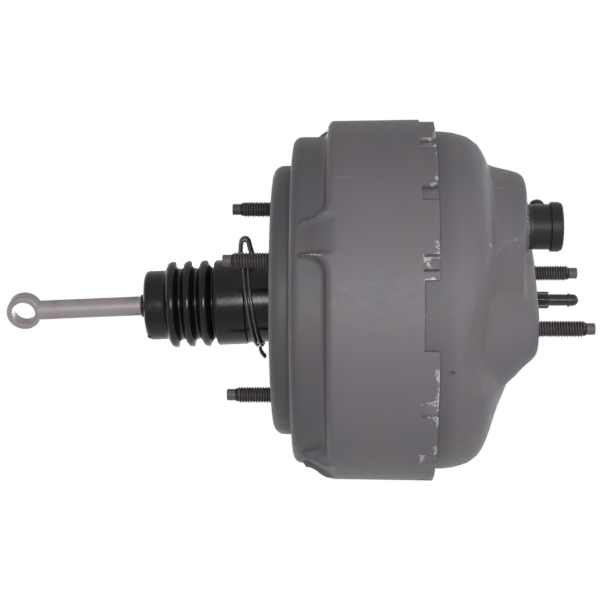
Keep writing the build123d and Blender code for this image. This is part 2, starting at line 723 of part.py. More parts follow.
# ---------------------------------------------------------------- pushrod
# The rod and the boot share an axis that hangs below the booster's own, about the ball.
droop_dir = Vector(cos(radians(droop)), 0, sin(radians(droop)))
droop_origin = Vector(ball_x, 0, 0) - droop_dir * ball_x
rod_plane = Plane(origin=droop_origin, x_dir=droop_dir, z_dir=(0, -1, 0))
rod_axis = Axis(droop_origin, droop_dir)
eye_centre = droop_origin + droop_dir * eye_x
eye_plane = Plane(origin=eye_centre, x_dir=(0, 1, 0), z_dir=droop_dir)
eye_axis = Axis(eye_centre, (0, 1, 0))
rod_end_x = eye_x + (eye_r + eye_bore_r) / 2 - 0.4

with BuildPart() as pushrod:
    turned((ball_x - 4, 0), (ball_x - 4, rod_neck_r), (rod_neck_x, rod_neck_r),
           (rod_neck_x - 1.8, rod_r), (rod_end_x, rod_r), (rod_end_x, 0),
           plane=rod_plane, axis=rod_axis)
    with Locations(rod_plane.from_local_coords(Vector(ball_x, 0, 0))):
        Sphere(ball_r)
    half = eye_width / 2
    turned((-half, eye_bore_r + eye_mouth), (-half, eye_r - eye_chamfer),
           (eye_chamfer - half, eye_r), (half - eye_chamfer, eye_r), (half, eye_r - eye_chamfer),
           (half, eye_bore_r + eye_mouth), (half - eye_mouth, eye_bore_r),
           (eye_mouth - half, eye_bore_r), plane=eye_plane, axis=eye_axis)
pushrod.part.label = "pushrod"
export_step(pushrod.part, "parts/pushrod.step")

with BuildPart() as spring_cup:
    turned((cup_x - 3, rod_r + seat_gap), (cup_x, rod_r + seat_gap), (cup_x, 11.0),
           (cup_x - 1.2, 11.0), (cup_x - 1.2, rod_r + 1.6), (cup_x - 3, rod_r + 1.6),
           plane=rod_plane, axis=rod_axis)
spring_cup.part.label = "spring_cup"
export_step(spring_cup.part, "parts/spring_cup.step")

flange_x = boot_end_x + boot_wall + body_gap
with BuildPart() as rod_wiper:
    turned((wiper_x, rod_r + seat_gap), (flange_x + 1.4, rod_r + seat_gap),
           (flange_x + 1.4, boot_hole_r + 4.2), (flange_x, boot_hole_r + 4.2),
           (flange_x, wiper_r), (wiper_x + 0.4, wiper_r), (wiper_x, wiper_r - 0.4),
           plane=rod_plane, axis=rod_axis)
rod_wiper.part.label = "rod_wiper"
export_step(rod_wiper.part, "parts/rod_wiper.step")

# ---------------------------------------------------------------- boot and its clip
crest_half = 1.9
root_half = 0.8
flank = 1.2                 # how far the inner flanks stand back from the outer ones
flank_run = boot_pitch / 2 - crest_half - root_half


def boot_form(inset):
    """Solid form of the boot about the rod's axis, moved inwards by inset for its inner side."""
    narrow = flank if inset else 0.0
    crest, root = boot_crest_r - inset, boot_root_r - inset
    path = [(boot_end_x + inset, 0), (boot_end_x + inset, boot_cup_r - inset),
            (boot_cup_x + narrow, boot_cup_r - inset)]
    radii = [3.0 - inset, 0.6]
    for number in range(boot_crests):
        middle = boot_cup_x + boot_pitch * number + flank_run + crest_half + root_half
        path += [(middle - crest_half + narrow, crest), (middle + crest_half - narrow, crest)]
        radii += [1.8 - narrow] * 2
        if number < boot_crests - 1:
            valley = middle + boot_pitch / 2
            path += [(valley - root_half - narrow, root), (valley + root_half + narrow, root)]
            radii += [0.7] * 2
    path += [(boot_sleeve_x - 1.0, root), (boot_sleeve_x + narrow, boot_sleeve_r - inset),
             (boot_sleeve_end_x - narrow, boot_sleeve_r - inset),
             (boot_sleeve_end_x + 1.6 - narrow, boot_base_r - inset),
             (sheet, boot_base_r - inset)]
    radii += [0.4, 1.2, 0.8, 0.6]
    with BuildPart() as form:
        with BuildSketch(rod_plane):
            with BuildLine():
                outline = FilletPolyline(*path, radius=radii)
                Polyline(outline @ 1, (sheet, 0), outline @ 0)
            make_face()
        revolve(axis=rod_axis)
    return form.part


with BuildPart() as boot:
    add(boot_form(0.0))
    add(boot_form(boot_wall), mode=Mode.SUBTRACT)
    with BuildSketch(Plane(origin=droop_origin + droop_dir * (boot_end_x - 1), z_dir=droop_dir)):
        Circle(boot_hole_r)
    extrude(amount=boot_wall + 2, mode=Mode.SUBTRACT)
    split(bisect_by=Plane.YZ.offset(-body_gap), keep=Keep.BOTTOM)
boot.part.label = "boot"
export_step(boot.part, "parts/boot.step")

clip_wire = 0.8
clip_x = -13.2
clip_tilt = 6.0
clip_r = boot_base_r + clip_wire + 2 * seat_gap
clip_plane = Plane(origin=(clip_x, 0, (clip_x - ball_x) * sin(radians(droop))),
                   x_dir=(cos(radians(clip_tilt)), 0, sin(radians(clip_tilt))), z_dir=(0, -1, 0))
ear_reach = 10.0
ear_half = 3.6
with BuildPart() as boot_clip:
    with BuildSketch(clip_plane) as ring_section:
        with Locations((0, clip_r)):
            Circle(clip_wire)
    revolve(ring_section.sketch, axis=Axis(clip_plane.origin, clip_plane.x_dir))
    with BuildLine(clip_plane) as ear:
        up = Line((0, clip_r), (0, clip_r + ear_reach - ear_half))
        over = ThreePointArc(up @ 1, (-ear_half, clip_r + ear_reach),
                             (-2 * ear_half, clip_r + ear_reach - ear_half))
        Line(over @ 1, (-2 * ear_half, clip_r + 2.4))
    with BuildSketch(Plane(ear.line @ 0, z_dir=ear.line % 0)) as ear_section:
        Circle(clip_wire)
    sweep(ear_section.sketch, path=ear.line)
    with BuildLine(clip_plane) as hook:
        FilletPolyline((0.4, -clip_r), (-0.6, -clip_r - 4.6), (1.8, -clip_r - 9.4), radius=1.6)
    with BuildSketch(Plane(hook.line @ 0, z_dir=hook.line % 0)) as hook_section:
        Circle(clip_wire)
    sweep(hook_section.sketch, path=hook.line)
boot_clip.part.label = "boot_clip"
export_step(boot_clip.part, "parts/boot_clip.step")

# ---------------------------------------------------------------- check valve
grommet_front_x = valve_body_x - seat_gap
with BuildPart() as check_valve_grommet:
    turned((lobe_x - sheet - 3.6, valve_spigot_r + seat_gap), (lobe_x - sheet - 3.6, 10.2),
           (lobe_x - sheet - 2.8, 11.0), (lobe_x - sheet - 2 * seat_gap, 11.0),
           (lobe_x - sheet - 2 * seat_gap, grommet_hole_r - seat_gap),
           (lobe_x + seat_gap, grommet_hole_r - seat_gap), (lobe_x + seat_gap, grommet_r),
           (grommet_front_x, grommet_r), (grommet_front_x, valve_spigot_r + seat_gap),
           plane=valve_plane, axis=valve_axis)
check_valve_grommet.part.label = "check_valve_grommet"
export_step(check_valve_grommet.part, "parts/check_valve_grommet.step")

chamber_x = valve_body_x + 1.8
chamber_r = valve_body_r - 2.2
cap_inner_x = valve_end_x - 3.5
valve_disc_r = 9.5
lift_wire = 0.45
port_r = 4.2
nipple_plane = Plane(origin=(nipple_x, valve_y, valve_z), x_dir=(0, 1, 0), z_dir=(1, 0, 0))
nipple_axis = Axis((nipple_x, valve_y, valve_z), (0, 1, 0))
barb_land = 2.0
barb_y = nipple_reach - 5.2
with BuildPart() as check_valve_body:
    turned((valve_body_x - 15.8, port_r), (valve_body_x - 15.8, valve_spigot_r - 0.6),
           (valve_body_x - 15.2, valve_spigot_r), (valve_body_x, valve_spigot_r),
           (valve_body_x, valve_body_r), (valve_split_x - seat_gap, valve_body_r),
           (valve_split_x - seat_gap, chamber_r), (chamber_x, chamber_r), (chamber_x, port_r),
           plane=valve_plane, axis=valve_axis)
    turned((chamber_r + 0.6, nipple_bore_r), (chamber_r + 0.6, nipple_root_r),
           (valve_cap_r + body_gap, nipple_root_r), (valve_cap_r + 2, nipple_r - 0.7),
           (barb_y - 2, nipple_r - 0.7), (barb_y - 0.4, nipple_r), (barb_y + barb_land, nipple_r),
           (nipple_reach - 1.2, nipple_r - 0.9), (nipple_reach, nipple_r - 1.6),
           (nipple_reach, nipple_bore_r), plane=nipple_plane, axis=nipple_axis)
    turned((chamber_r - 1, 0), (chamber_r - 1, nipple_bore_r),
           (valve_body_r + 1, nipple_bore_r), (valve_body_r + 1, 0),
           plane=nipple_plane, axis=nipple_axis)
check_valve_body.part.label = "check_valve_body"
export_step(check_valve_body.part, "parts/check_valve_body.step")

with BuildPart() as check_valve_cap:
    turned((valve_split_x, chamber_r), (valve_split_x, valve_cap_r - 0.5),
           (valve_split_x + 0.5, valve_cap_r), (valve_end_x - 2, valve_cap_r),
           (valve_end_x - 2, valve_cap_r - 0.5), (valve_end_x - 0.8, valve_cap_r - 0.5),
           (valve_end_x, valve_cap_r - 1.3), (valve_end_x, 0), (cap_inner_x, 0),
           (cap_inner_x, chamber_r), plane=valve_plane, axis=valve_axis)
check_valve_cap.part.label = "check_valve_cap"
export_step(check_valve_cap.part, "parts/check_valve_cap.step")

disc_x = chamber_x + body_gap
stem_r = 1.6
with BuildPart() as check_valve_disc:
    turned((disc_x, 0), (disc_x, valve_disc_r), (disc_x + 1.8, valve_disc_r), (disc_x + 1.8, stem_r),
           (cap_inner_x - valve_lift - body_gap, stem_r), (cap_inner_x - valve_lift - body_gap, 0),
           plane=valve_plane, axis=valve_axis)
check_valve_disc.part.label = "check_valve_disc"
export_step(check_valve_disc.part, "parts/check_valve_disc.step")

with BuildPart() as valve_coil:
    coil(disc_x + 1.8 + lift_wire + seat_gap, cap_inner_x - lift_wire - seat_gap, 4.6, lift_wire, 3)
check_valve_spring = valve_coil.part.moved(Location((0, valve_y, valve_z)))
check_valve_spring.label = "check_valve_spring"
export_step(check_valve_spring, "parts/check_valve_spring.step")
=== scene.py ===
"""Looks of the tandem vacuum brake booster, in metres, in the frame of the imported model."""

import json
import logging
from collections.abc import Callable
from dataclasses import dataclass, field
from enum import Enum
from math import asin, atan2, cos, degrees, exp, hypot, pi, radians, sin, sqrt, tan

import bmesh
import bpy
from mathutils import Matrix, Vector


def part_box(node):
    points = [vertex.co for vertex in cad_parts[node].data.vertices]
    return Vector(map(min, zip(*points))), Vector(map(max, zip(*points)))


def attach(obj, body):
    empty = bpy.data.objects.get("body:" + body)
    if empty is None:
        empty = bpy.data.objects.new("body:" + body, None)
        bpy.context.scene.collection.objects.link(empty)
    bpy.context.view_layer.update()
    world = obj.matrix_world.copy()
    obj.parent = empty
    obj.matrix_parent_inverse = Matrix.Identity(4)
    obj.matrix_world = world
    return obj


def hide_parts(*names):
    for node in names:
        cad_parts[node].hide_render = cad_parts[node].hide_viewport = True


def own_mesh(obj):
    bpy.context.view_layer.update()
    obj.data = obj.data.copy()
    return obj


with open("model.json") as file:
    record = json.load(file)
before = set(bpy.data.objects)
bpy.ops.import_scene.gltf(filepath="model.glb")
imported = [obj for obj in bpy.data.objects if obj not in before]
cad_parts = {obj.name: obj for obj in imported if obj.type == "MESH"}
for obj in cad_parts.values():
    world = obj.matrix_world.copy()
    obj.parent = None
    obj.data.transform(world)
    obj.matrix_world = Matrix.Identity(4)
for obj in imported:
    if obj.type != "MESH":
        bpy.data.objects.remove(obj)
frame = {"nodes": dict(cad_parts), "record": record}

MM = 0.001
AXIS = Vector((1.0, 0.0, 0.0))
ORIGIN = Vector((0.0, 0.0, 0.0))

log_out = logging.getLogger("booster")
Colour = tuple[float, float, float]
Profile = list[tuple[float, float]]
Node = bpy.types.Node
Socket = bpy.types.NodeSocket


class Slot(str, Enum):
    """The record's material slots."""

    SHELL = "shell_paint"
    STUD = "stud_steel"
    PLATE = "plate_steel"
    ROD = "rod_steel"
    OUTPUT = "output_steel"
    SPRING = "spring_steel"
    CLIP = "clip_wire"
    BOOT = "boot_rubber"
    SEAL = "seal_rubber"
    PLASTIC = "black_plastic"
    VALVE = "valve_plastic"
    FELT = "filter_felt"


# ---------------------------------------------------------------- node tools
class Graph:
    """A small hand on a node tree: makes nodes and joins their sockets."""

    def __init__(self, tree: bpy.types.NodeTree) -> None:
        """Takes hold of a tree.

        Args:
            tree: The node tree of a material or a group.
        """
        self.tree = tree

    def add(self, kind: str, **values: object) -> Node:
        """Adds a node.

        Args:
            kind: Blender's type name of the node.
            **values: Properties of the node, set by name.

        Returns:
            The new node.
        """
        node = self.tree.nodes.new(kind)
        for name, value in values.items():
            setattr(node, name, value)
        return node

    def feed(self, socket: Socket, source: Socket | float | tuple) -> None:
        """Joins a source to an input socket, or sets the socket's own value."""
        if isinstance(source, bpy.types.NodeSocket):
            self.tree.links.new(source, socket)
        else:
            socket.default_value = source

    def math(self, operation: str, a: Socket | float, b: Socket | float = 0.0,
             clamp: bool = False) -> Socket:
        """Adds a Math node and returns its result."""
        node = self.add("ShaderNodeMath", operation=operation, use_clamp=clamp)
        self.feed(node.inputs[0], a)
        self.feed(node.inputs[1], b)
        return node.outputs[0]

    def ramp(self, value: Socket, low: float, high: float, to_low: float = 0.0,
             to_high: float = 1.0) -> Socket:
        """Maps a value smoothly from one range to another.

        Args:
            value: The value that is mapped.
            low: Value that gives to_low.
            high: Value that gives to_high.
            to_low: Result at the low end.
            to_high: Result at the high end.

        Returns:
            The mapped value.
        """
        node = self.add("ShaderNodeMapRange", interpolation_type="SMOOTHSTEP")
        self.feed(node.inputs["Value"], value)
        for name, number in (("From Min", low), ("From Max", high), ("To Min", to_low),
                             ("To Max", to_high)):
            node.inputs[name].default_value = number
        return node.outputs["Result"]

    def cover(self, factor: Socket | float, under: Socket, over: Colour) -> Socket:
        """Lays a plain colour over another and returns the mixed colour."""
        node = self.add("ShaderNodeMix", data_type="RGBA")
        self.feed(node.inputs[0], factor)
        self.feed(node.inputs[6], under)
        self.feed(node.inputs[7], (*over, 1.0))
        return node.outputs[2]

    def attribute(self, name: str) -> Socket:
        """Reads a number that mark() wrote for each vertex."""
        return self.add("ShaderNodeAttribute", attribute_name=name).outputs["Fac"]

    def seen(self) -> Socket:
        """Returns 1 for what the camera sees straight, mirrored or through something clear."""
        path = self.add("ShaderNodeLightPath")
        seen = self.math("MAXIMUM", path.outputs["Is Camera Ray"], path.outputs["Is Glossy Ray"])
        return self.math("MAXIMUM", seen, path.outputs["Is Transmission Ray"])

    def noise(self, vector: Socket, scale: Socket | float, detail: float = 4.0,
              roughness: float = 0.55) -> Socket:
        """Adds a noise texture and returns its value."""
        node = self.add("ShaderNodeTexNoise")
        self.feed(node.inputs["Vector"], vector)
        self.feed(node.inputs["Scale"], scale)
        node.inputs["Detail"].default_value = detail
        node.inputs["Roughness"].default_value = roughness
        return node.outputs["Fac"]

    def stretched(self, vector: Socket, scale: tuple[float, float, float],
                  turn: tuple[float, float, float] = (0.0, 0.0, 0.0)) -> Socket:
        """Stretches and turns a coordinate with a Mapping node."""
        node = self.add("ShaderNodeMapping")
        self.feed(node.inputs["Vector"], vector)
        node.inputs["Scale"].default_value = scale
        node.inputs["Rotation"].default_value = turn
        return node.outputs["Vector"]


class Effect:
    """A shared node group, made once, with named inputs and outputs."""

    _made: dict[str, bpy.types.NodeTree] = {}

    def __init__(self, name: str, inputs: dict[str, tuple[str, float]], outputs: tuple[str, ...],
                 build: Callable[[Graph, Node, Node], None]) -> None:
        """Describes the group.

        Args:
            name: Name of the group.
            inputs: Kind and default value of each input, by name.
            outputs: Names of the outputs, all of them values.
            build: Fills the group, given its graph, its input node and its output node.
        """
        self.name = name
        self.inputs = inputs
        self.outputs = outputs
        self.build = build

    def tree(self) -> bpy.types.NodeTree:
        """Returns the group's tree, making it at the first call."""
        if self.name in Effect._made:
            return Effect._made[self.name]
        tree = bpy.data.node_groups.new(self.name, "ShaderNodeTree")
        for name, (kind, value) in self.inputs.items():
            socket = tree.interface.new_socket(name=name, in_out="INPUT", socket_type=kind)
            if kind == "NodeSocketFloat":
                socket.default_value = value
        for name in self.outputs:
            tree.interface.new_socket(name=name, in_out="OUTPUT", socket_type="NodeSocketFloat")
        graph = Graph(tree)
        self.build(graph, graph.add("NodeGroupInput"), graph.add("NodeGroupOutput"))
        Effect._made[self.name] = tree
        return tree

    def place(self, graph: Graph, **values: Socket | float) -> Node:
        """Places the group in a material.

        Args:
            graph: The material's graph.
            **values: Inputs by name, with an underscore for a space.

        Returns:
            The group node.
        """
        node = graph.add("ShaderNodeGroup", node_tree=self.tree())
        for name, value in values.items():
            graph.feed(node.inputs[name.replace("_", " ")], value)
        return node


def _fill_mottle(graph: Graph, source: Node, sink: Node) -> None:
    """Fills the group of slow and fine unevenness in a finish."""
    vector = source.outputs["Vector"]
    broad = graph.noise(vector, source.outputs["Scale"], 3.0, 0.6)
    fine = graph.noise(vector, graph.math("MULTIPLY", source.outputs["Scale"], 9.0), 5.0, 0.65)
    both = graph.math("ADD", graph.math("MULTIPLY", broad, 0.65),
                      graph.math("MULTIPLY", fine, 0.35))
    centred = graph.math("SUBTRACT", both, 0.5)
    graph.feed(sink.inputs["Shade"],
               graph.math("ADD", graph.math("MULTIPLY", centred, source.outputs["Amount"]), 1.0))
    graph.feed(sink.inputs["Fine"], fine)


def _fill_flecks(graph: Graph, source: Node, sink: Node) -> None:
    """Fills the group of bare flecks that break up a worn edge."""
    vector = source.outputs["Vector"]
    patch = graph.noise(vector, source.outputs["Scale"], 6.0, 0.7)
    spread = graph.noise(vector, graph.math("MULTIPLY", source.outputs["Scale"], 0.16), 2.0, 0.5)
    drive = graph.math("MULTIPLY", source.outputs["Edge"],
                       graph.ramp(spread, 0.38, 0.64))
    level = graph.math("ADD", graph.math("MULTIPLY", drive, source.outputs["Amount"]), patch)
    graph.feed(sink.inputs["Wear"], graph.ramp(level, 0.98, 1.12))


def _fill_scratches(graph: Graph, source: Node, sink: Node) -> None:
    """Fills the group of thin, short scratches that run three ways."""
    vector = source.outputs["Vector"]
    total = None
    for number, turn in enumerate(((0.3, 0.2, 0.5), (1.1, -0.7, 2.1), (2.3, 0.9, 1.2))):
        lines = graph.noise(graph.stretched(vector, (9.0, 160.0, 150.0 + 9 * number), turn),
                            source.outputs["Scale"], 2.0, 0.4)
        where = graph.noise(graph.stretched(vector, (1.0, 1.0, 1.0), turn),
                            graph.math("MULTIPLY", source.outputs["Scale"], 38.0 + 6 * number),
                            1.0, 0.4)
        line = graph.math("MULTIPLY", graph.ramp(lines, 0.70, 0.76), graph.ramp(where, 0.60, 0.68))
        total = line if total is None else graph.math("MAXIMUM", total, line)
    graph.feed(sink.inputs["Scratch"], total)


def _fill_nicks(graph: Graph, source: Node, sink: Node) -> None:
    """Fills the group of small, sparse nicks, some of them longer than wide."""
    vector = source.outputs["Vector"]
    cells = graph.add("ShaderNodeTexVoronoi", feature="F1")
    bent = graph.add("ShaderNodeVectorMath", operation="ADD")
    wobble = graph.add("ShaderNodeTexNoise")
    graph.feed(wobble.inputs["Vector"], vector)
    wobble.inputs["Scale"].default_value = 420.0
    shift = graph.add("ShaderNodeVectorMath", operation="SCALE")
    graph.feed(shift.inputs[0], wobble.outputs["Color"])
    shift.inputs["Scale"].default_value = 0.0035
    graph.feed(bent.inputs[0], vector)
    graph.feed(bent.inputs[1], shift.outputs[0])
    graph.feed(cells.inputs["Vector"], bent.outputs[0])
    graph.feed(cells.inputs["Scale"], source.outputs["Scale"])
    split = graph.add("ShaderNodeSeparateColor")
    graph.feed(split.inputs[0], cells.outputs["Color"])
    near = graph.ramp(cells.outputs["Distance"], 0.035, 0.085, 1.0, 0.0)
    chosen = graph.ramp(split.outputs[0], 0.70, 0.72)
    graph.feed(sink.inputs["Nick"], graph.math("MULTIPLY", near, chosen))


VECTOR = ("NodeSocketVector", 0.0)
MOTTLE = Effect("uneven_finish", {"Vector": VECTOR, "Scale": ("NodeSocketFloat", 30.0),
                                  "Amount": ("NodeSocketFloat", 0.3)},
                ("Shade", "Fine"), _fill_mottle)
FLECKS = Effect("edge_flecks", {"Vector": VECTOR, "Scale": ("NodeSocketFloat", 300.0),
                                "Edge": ("NodeSocketFloat", 0.0),
                                "Amount": ("NodeSocketFloat", 0.5)},
                ("Wear",), _fill_flecks)
SCRATCHES = Effect("fine_scratches", {"Vector": VECTOR, "Scale": ("NodeSocketFloat", 1.0)},
                   ("Scratch",), _fill_scratches)
NICKS = Effect("small_nicks", {"Vector": VECTOR, "Scale": ("NodeSocketFloat", 60.0)},
               ("Nick",), _fill_nicks)


# ---------------------------------------------------------------- finishes
@dataclass(frozen=True)
class Finish:
    """What every finish holds: a name and the plain values of its shader."""

    name: str
    colour: Colour
    roughness: float
    metallic: float = 0.0
    specular: float = 0.5
    grain: float = 900.0
    bump: float = 0.1
    uneven: float = 0.25

    def start(self) -> tuple[bpy.types.Material, Graph, Node, Socket]:
        """Makes the material with an empty Principled shader.

        Returns:
            The material, its graph, its shader and the Object coordinate.
        """
        material = bpy.data.materials.new(self.name)
        material.use_nodes = True
        graph = Graph(material.node_tree)
        shader = material.node_tree.nodes["Principled BSDF"]
        shader.inputs["Metallic"].default_value = self.metallic
        shader.inputs["Specular IOR Level"].default_value = self.specular
        vector = graph.add("ShaderNodeTexCoord").outputs["Object"]
        return material, graph, shader, vector

    def bumped(self, graph: Graph, shader: Node, height: Socket, depth: float) -> None:
        """Feeds a height to the shader's normal.

        Args:
            graph: The material's graph.
            shader: The shader that takes the normal.
            height: Height of the surface, from 0 to 1.
            depth: Depth of the relief in metres.
        """
        node = graph.add("ShaderNodeBump")
        node.inputs["Strength"].default_value = 1.0
        node.inputs["Distance"].default_value = depth
        graph.feed(node.inputs["Height"], height)
        graph.feed(shader.inputs["Normal"], node.outputs["Normal"])

    def shaded(self, graph: Graph, vector: Socket, scale: float) -> tuple[Socket, Socket]:
        """Returns the uneven base colour and the fine noise that it comes from."""
        mottle = MOTTLE.place(graph, Vector=vector, Scale=scale, Amount=self.uneven)
        tint = graph.add("ShaderNodeVectorMath", operation="SCALE")
        tint.inputs[0].default_value = self.colour
        graph.feed(tint.inputs["Scale"], mottle.outputs["Shade"])
        return tint.outputs[0], mottle.outputs["Fine"]

    def material(self) -> bpy.types.Material:
        """Builds a finish of uneven colour, fine grain and a few nicks."""
        material, graph, shader, vector = self.start()
        colour, fine = self.shaded(graph, vector, self.grain / 12)
        graph.feed(shader.inputs["Base Color"], colour)
        graph.feed(shader.inputs["Roughness"],
                   graph.ramp(fine, 0.3, 0.7, self.roughness - 0.07, self.roughness + 0.07))
        grain = graph.noise(vector, self.grain, 4.0, 0.6)
        self.bumped(graph, shader, grain, self.bump * MM)
        return material


@dataclass(frozen=True)
class ShellPaint(Finish):
    """Satin gray coating on pressed steel, worn to bare metal along its edges."""

    bare: Colour = (0.44, 0.43, 0.44)
    dark: Colour = (0.035, 0.033, 0.036)
    warm: Colour = (0.146, 0.131, 0.141)
    # painted shade colour, laid on the recessed rear tiers and on the strip beside the rear shell's
    # rim
    painted_shade: Colour = (0.066, 0.062, 0.068)
    wear: float = 0.62

    def material(self) -> bpy.types.Material:
        """Builds the coating with its flecks, scratches, nicks, orange peel and painted shade."""
        material, graph, shader, vector = self.start()
        colour, fine = self.shaded(graph, vector, 26.0)
        tone = graph.noise(vector, 21.0, 3.0, 0.6)
        colour = graph.cover(graph.ramp(tone, 0.42, 0.62, 0.0, 0.8), colour, self.warm)
        # painted shade: the attribute darkens the coating on the recessed rear tiers and pockets and
        # beside the rim
        painted_shade = graph.attribute("painted_shade")
        colour = graph.cover(graph.math("MULTIPLY", painted_shade, 0.75), colour, self.painted_shade)
        edge = graph.attribute("edge")
        rub = graph.attribute("rub")
        flecks = FLECKS.place(graph, Vector=vector, Scale=620.0, Edge=edge, Amount=self.wear)
        rubbed = FLECKS.place(graph, Vector=vector, Scale=1300.0, Edge=rub, Amount=0.52)
        scratch = SCRATCHES.place(graph, Vector=vector, Scale=1.0).outputs["Scratch"]
        nick = NICKS.place(graph, Vector=vector, Scale=46.0).outputs["Nick"]
        wear = graph.math("MAXIMUM", flecks.outputs["Wear"], rubbed.outputs["Wear"])
        worn = graph.math("MAXIMUM", wear, graph.math("MULTIPLY", scratch, 0.45))
        colour = graph.cover(graph.math("MULTIPLY", nick, 0.75), colour, self.dark)
        colour = graph.cover(worn, colour, self.bare)
        graph.feed(shader.inputs["Base Color"], colour)
        rough = graph.ramp(fine, 0.3, 0.7, self.roughness - 0.05, self.roughness + 0.06)
        graph.feed(shader.inputs["Roughness"],
                   graph.math("SUBTRACT", rough, graph.math("MULTIPLY", worn, 0.12)))
        peel = graph.noise(vector, self.grain, 3.0, 0.55)
        cut = graph.math("ADD", graph.math("MULTIPLY", nick, 1.6), graph.math("MULTIPLY", wear, 0.5))
        height = graph.math("SUBTRACT", graph.math("MULTIPLY", peel, 0.5), cut)
        self.bumped(graph, shader, height, self.bump * MM)
        return material


@dataclass(frozen=True)
class DrawnSteel(Finish):
    """Bare or phosphated steel with fine marks that run along one axis."""

    stretch: tuple[float, float, float] = (1.0, 14.0, 14.0)
    stain: Colour = (0.20, 0.18, 0.18)
    stained: float = 0.5
    # painted shade colour for the thread roots
    deep: Colour = (0.012, 0.010, 0.010)

    def material(self) -> bpy.types.Material:
        """Builds the steel with drawn lines, stains, pits and painted shade in the thread roots."""
        material, graph, shader, vector = self.start()
        colour, fine = self.shaded(graph, vector, 90.0)
        lines = graph.noise(graph.stretched(vector, self.stretch), 260.0, 5.0, 0.7)
        stain = graph.ramp(graph.noise(vector, 55.0, 5.0, 0.65), 0.48, 0.68, 0.0, self.stained)
        colour = graph.cover(stain, colour, self.stain)
        colour = graph.cover(graph.ramp(lines, 0.35, 0.75, 0.0, 0.35), colour, self.stain)
        nick = NICKS.place(graph, Vector=vector, Scale=140.0).outputs["Nick"]
        colour = graph.cover(graph.math("MULTIPLY", nick, 0.5), colour, self.stain)
        # painted shade: darkens the studs' thread roots by their depth
        painted_shade = graph.attribute("painted_shade")
        colour = graph.cover(graph.math("MULTIPLY", painted_shade, 0.9), colour, self.deep)
        graph.feed(shader.inputs["Base Color"], colour)
        rough = graph.ramp(fine, 0.3, 0.7, self.roughness - 0.08, self.roughness + 0.08)
        graph.feed(shader.inputs["Roughness"],
                   graph.math("ADD", rough, graph.math("MULTIPLY", stain, 0.25)))
        height = graph.math("SUBTRACT", graph.math("MULTIPLY", lines, 0.6), nick)
        self.bumped(graph, shader, height, self.bump * MM)
        return material


@dataclass(frozen=True)
class MouldedRubber(Finish):
    """Glossy moulded rubber with a faint bloom and handling marks."""

    bloom: Colour = (0.045, 0.046, 0.048)

    def material(self) -> bpy.types.Material:
        """Builds the rubber with bloom, soft waviness and small specks."""
        material, graph, shader, vector = self.start()
        colour, fine = self.shaded(graph, vector, 60.0)
        bloom = graph.ramp(graph.noise(vector, 48.0, 5.0, 0.7), 0.50, 0.74, 0.0, 0.55)
        speck = NICKS.place(graph, Vector=vector, Scale=190.0).outputs["Nick"]
        dusty = graph.math("MAXIMUM", bloom, graph.math("MULTIPLY", speck, 0.5))
        colour = graph.cover(dusty, colour, self.bloom)
        graph.feed(shader.inputs["Base Color"], colour)
        rough = graph.ramp(fine, 0.3, 0.7, self.roughness - 0.05, self.roughness + 0.07)
        graph.feed(shader.inputs["Roughness"],
                   graph.math("ADD", rough, graph.math("MULTIPLY", bloom, 0.3)))
        wave = graph.noise(vector, self.grain, 3.0, 0.5)
        self.bumped(graph, shader, wave, self.bump * MM)
        return material


FINISHES: dict[Slot, Finish] = {
    Slot.SHELL: ShellPaint("Gray shell coating", (0.140, 0.131, 0.147), 0.55, specular=0.25,
                           grain=620.0, bump=0.035, uneven=0.22),
    Slot.STUD: DrawnSteel("Phosphated stud steel", (0.120, 0.108, 0.104), 0.45, 0.20,
                          specular=0.15, bump=0.02, uneven=0.5, stain=(0.030, 0.027, 0.026)),
    Slot.PLATE: DrawnSteel("Plated sheet steel", (0.46, 0.45, 0.43), 0.34, 0.95,
                           bump=0.015, stain=(0.30, 0.28, 0.24)),
    Slot.ROD: DrawnSteel("Bare rod steel", (0.330, 0.292, 0.312), 0.42, 0.20, specular=0.2,
                         bump=0.02, uneven=0.35, stain=(0.20, 0.17, 0.175)),
    Slot.OUTPUT: DrawnSteel("Output rod steel", (0.022, 0.022, 0.023), 0.28, 0.35, specular=0.4,
                            bump=0.02, uneven=0.5, stain=(0.018, 0.018, 0.018)),
    Slot.SPRING: DrawnSteel("Spring steel", (0.22, 0.22, 0.225), 0.35, 0.95, bump=0.01),
    Slot.CLIP: DrawnSteel("Clip wire", (0.060, 0.060, 0.060), 0.28, 0.4, bump=0.01,
                          stain=(0.030, 0.030, 0.030)),
    Slot.BOOT: MouldedRubber("Boot rubber", (0.0050, 0.0050, 0.0060), 0.19, specular=0.20,
                             grain=70.0, bump=0.10, uneven=0.6, bloom=(0.022, 0.022, 0.024)),
    Slot.SEAL: MouldedRubber("Seal rubber", (0.014, 0.014, 0.014), 0.48, specular=0.3,
                             grain=500.0, bump=0.03),
    Slot.PLASTIC: MouldedRubber("Black plastic", (0.0200, 0.0185, 0.0200), 0.40, specular=0.15,
                                grain=700.0, bump=0.02, uneven=0.5, bloom=(0.034, 0.033, 0.035)),
    Slot.VALVE: Finish("Molded valve body", (0.030, 0.027, 0.024), 0.5, bump=0.04),
    Slot.FELT: Finish("Filter felt", (0.060, 0.058, 0.052), 0.95, grain=1600.0, bump=0.4,
                      uneven=0.8),
}


class Wardrobe:
    """Hands out each finish's material, made once."""

    def __init__(self) -> None:
        """Starts with nothing made."""
        self._made: dict[Slot, bpy.types.Material] = {}

    def material(self, slot: Slot) -> bpy.types.Material:
        """Returns the material of a slot."""
        if slot not in self._made:
            self._made[slot] = FINISHES[slot].material()
        return self._made[slot]

    def dress(self, piece: bpy.types.Object, slot: Slot) -> None:
        """Gives a piece or a carried node the material of a slot."""
        piece.data.materials.clear()
        piece.data.materials.append(self.material(slot))


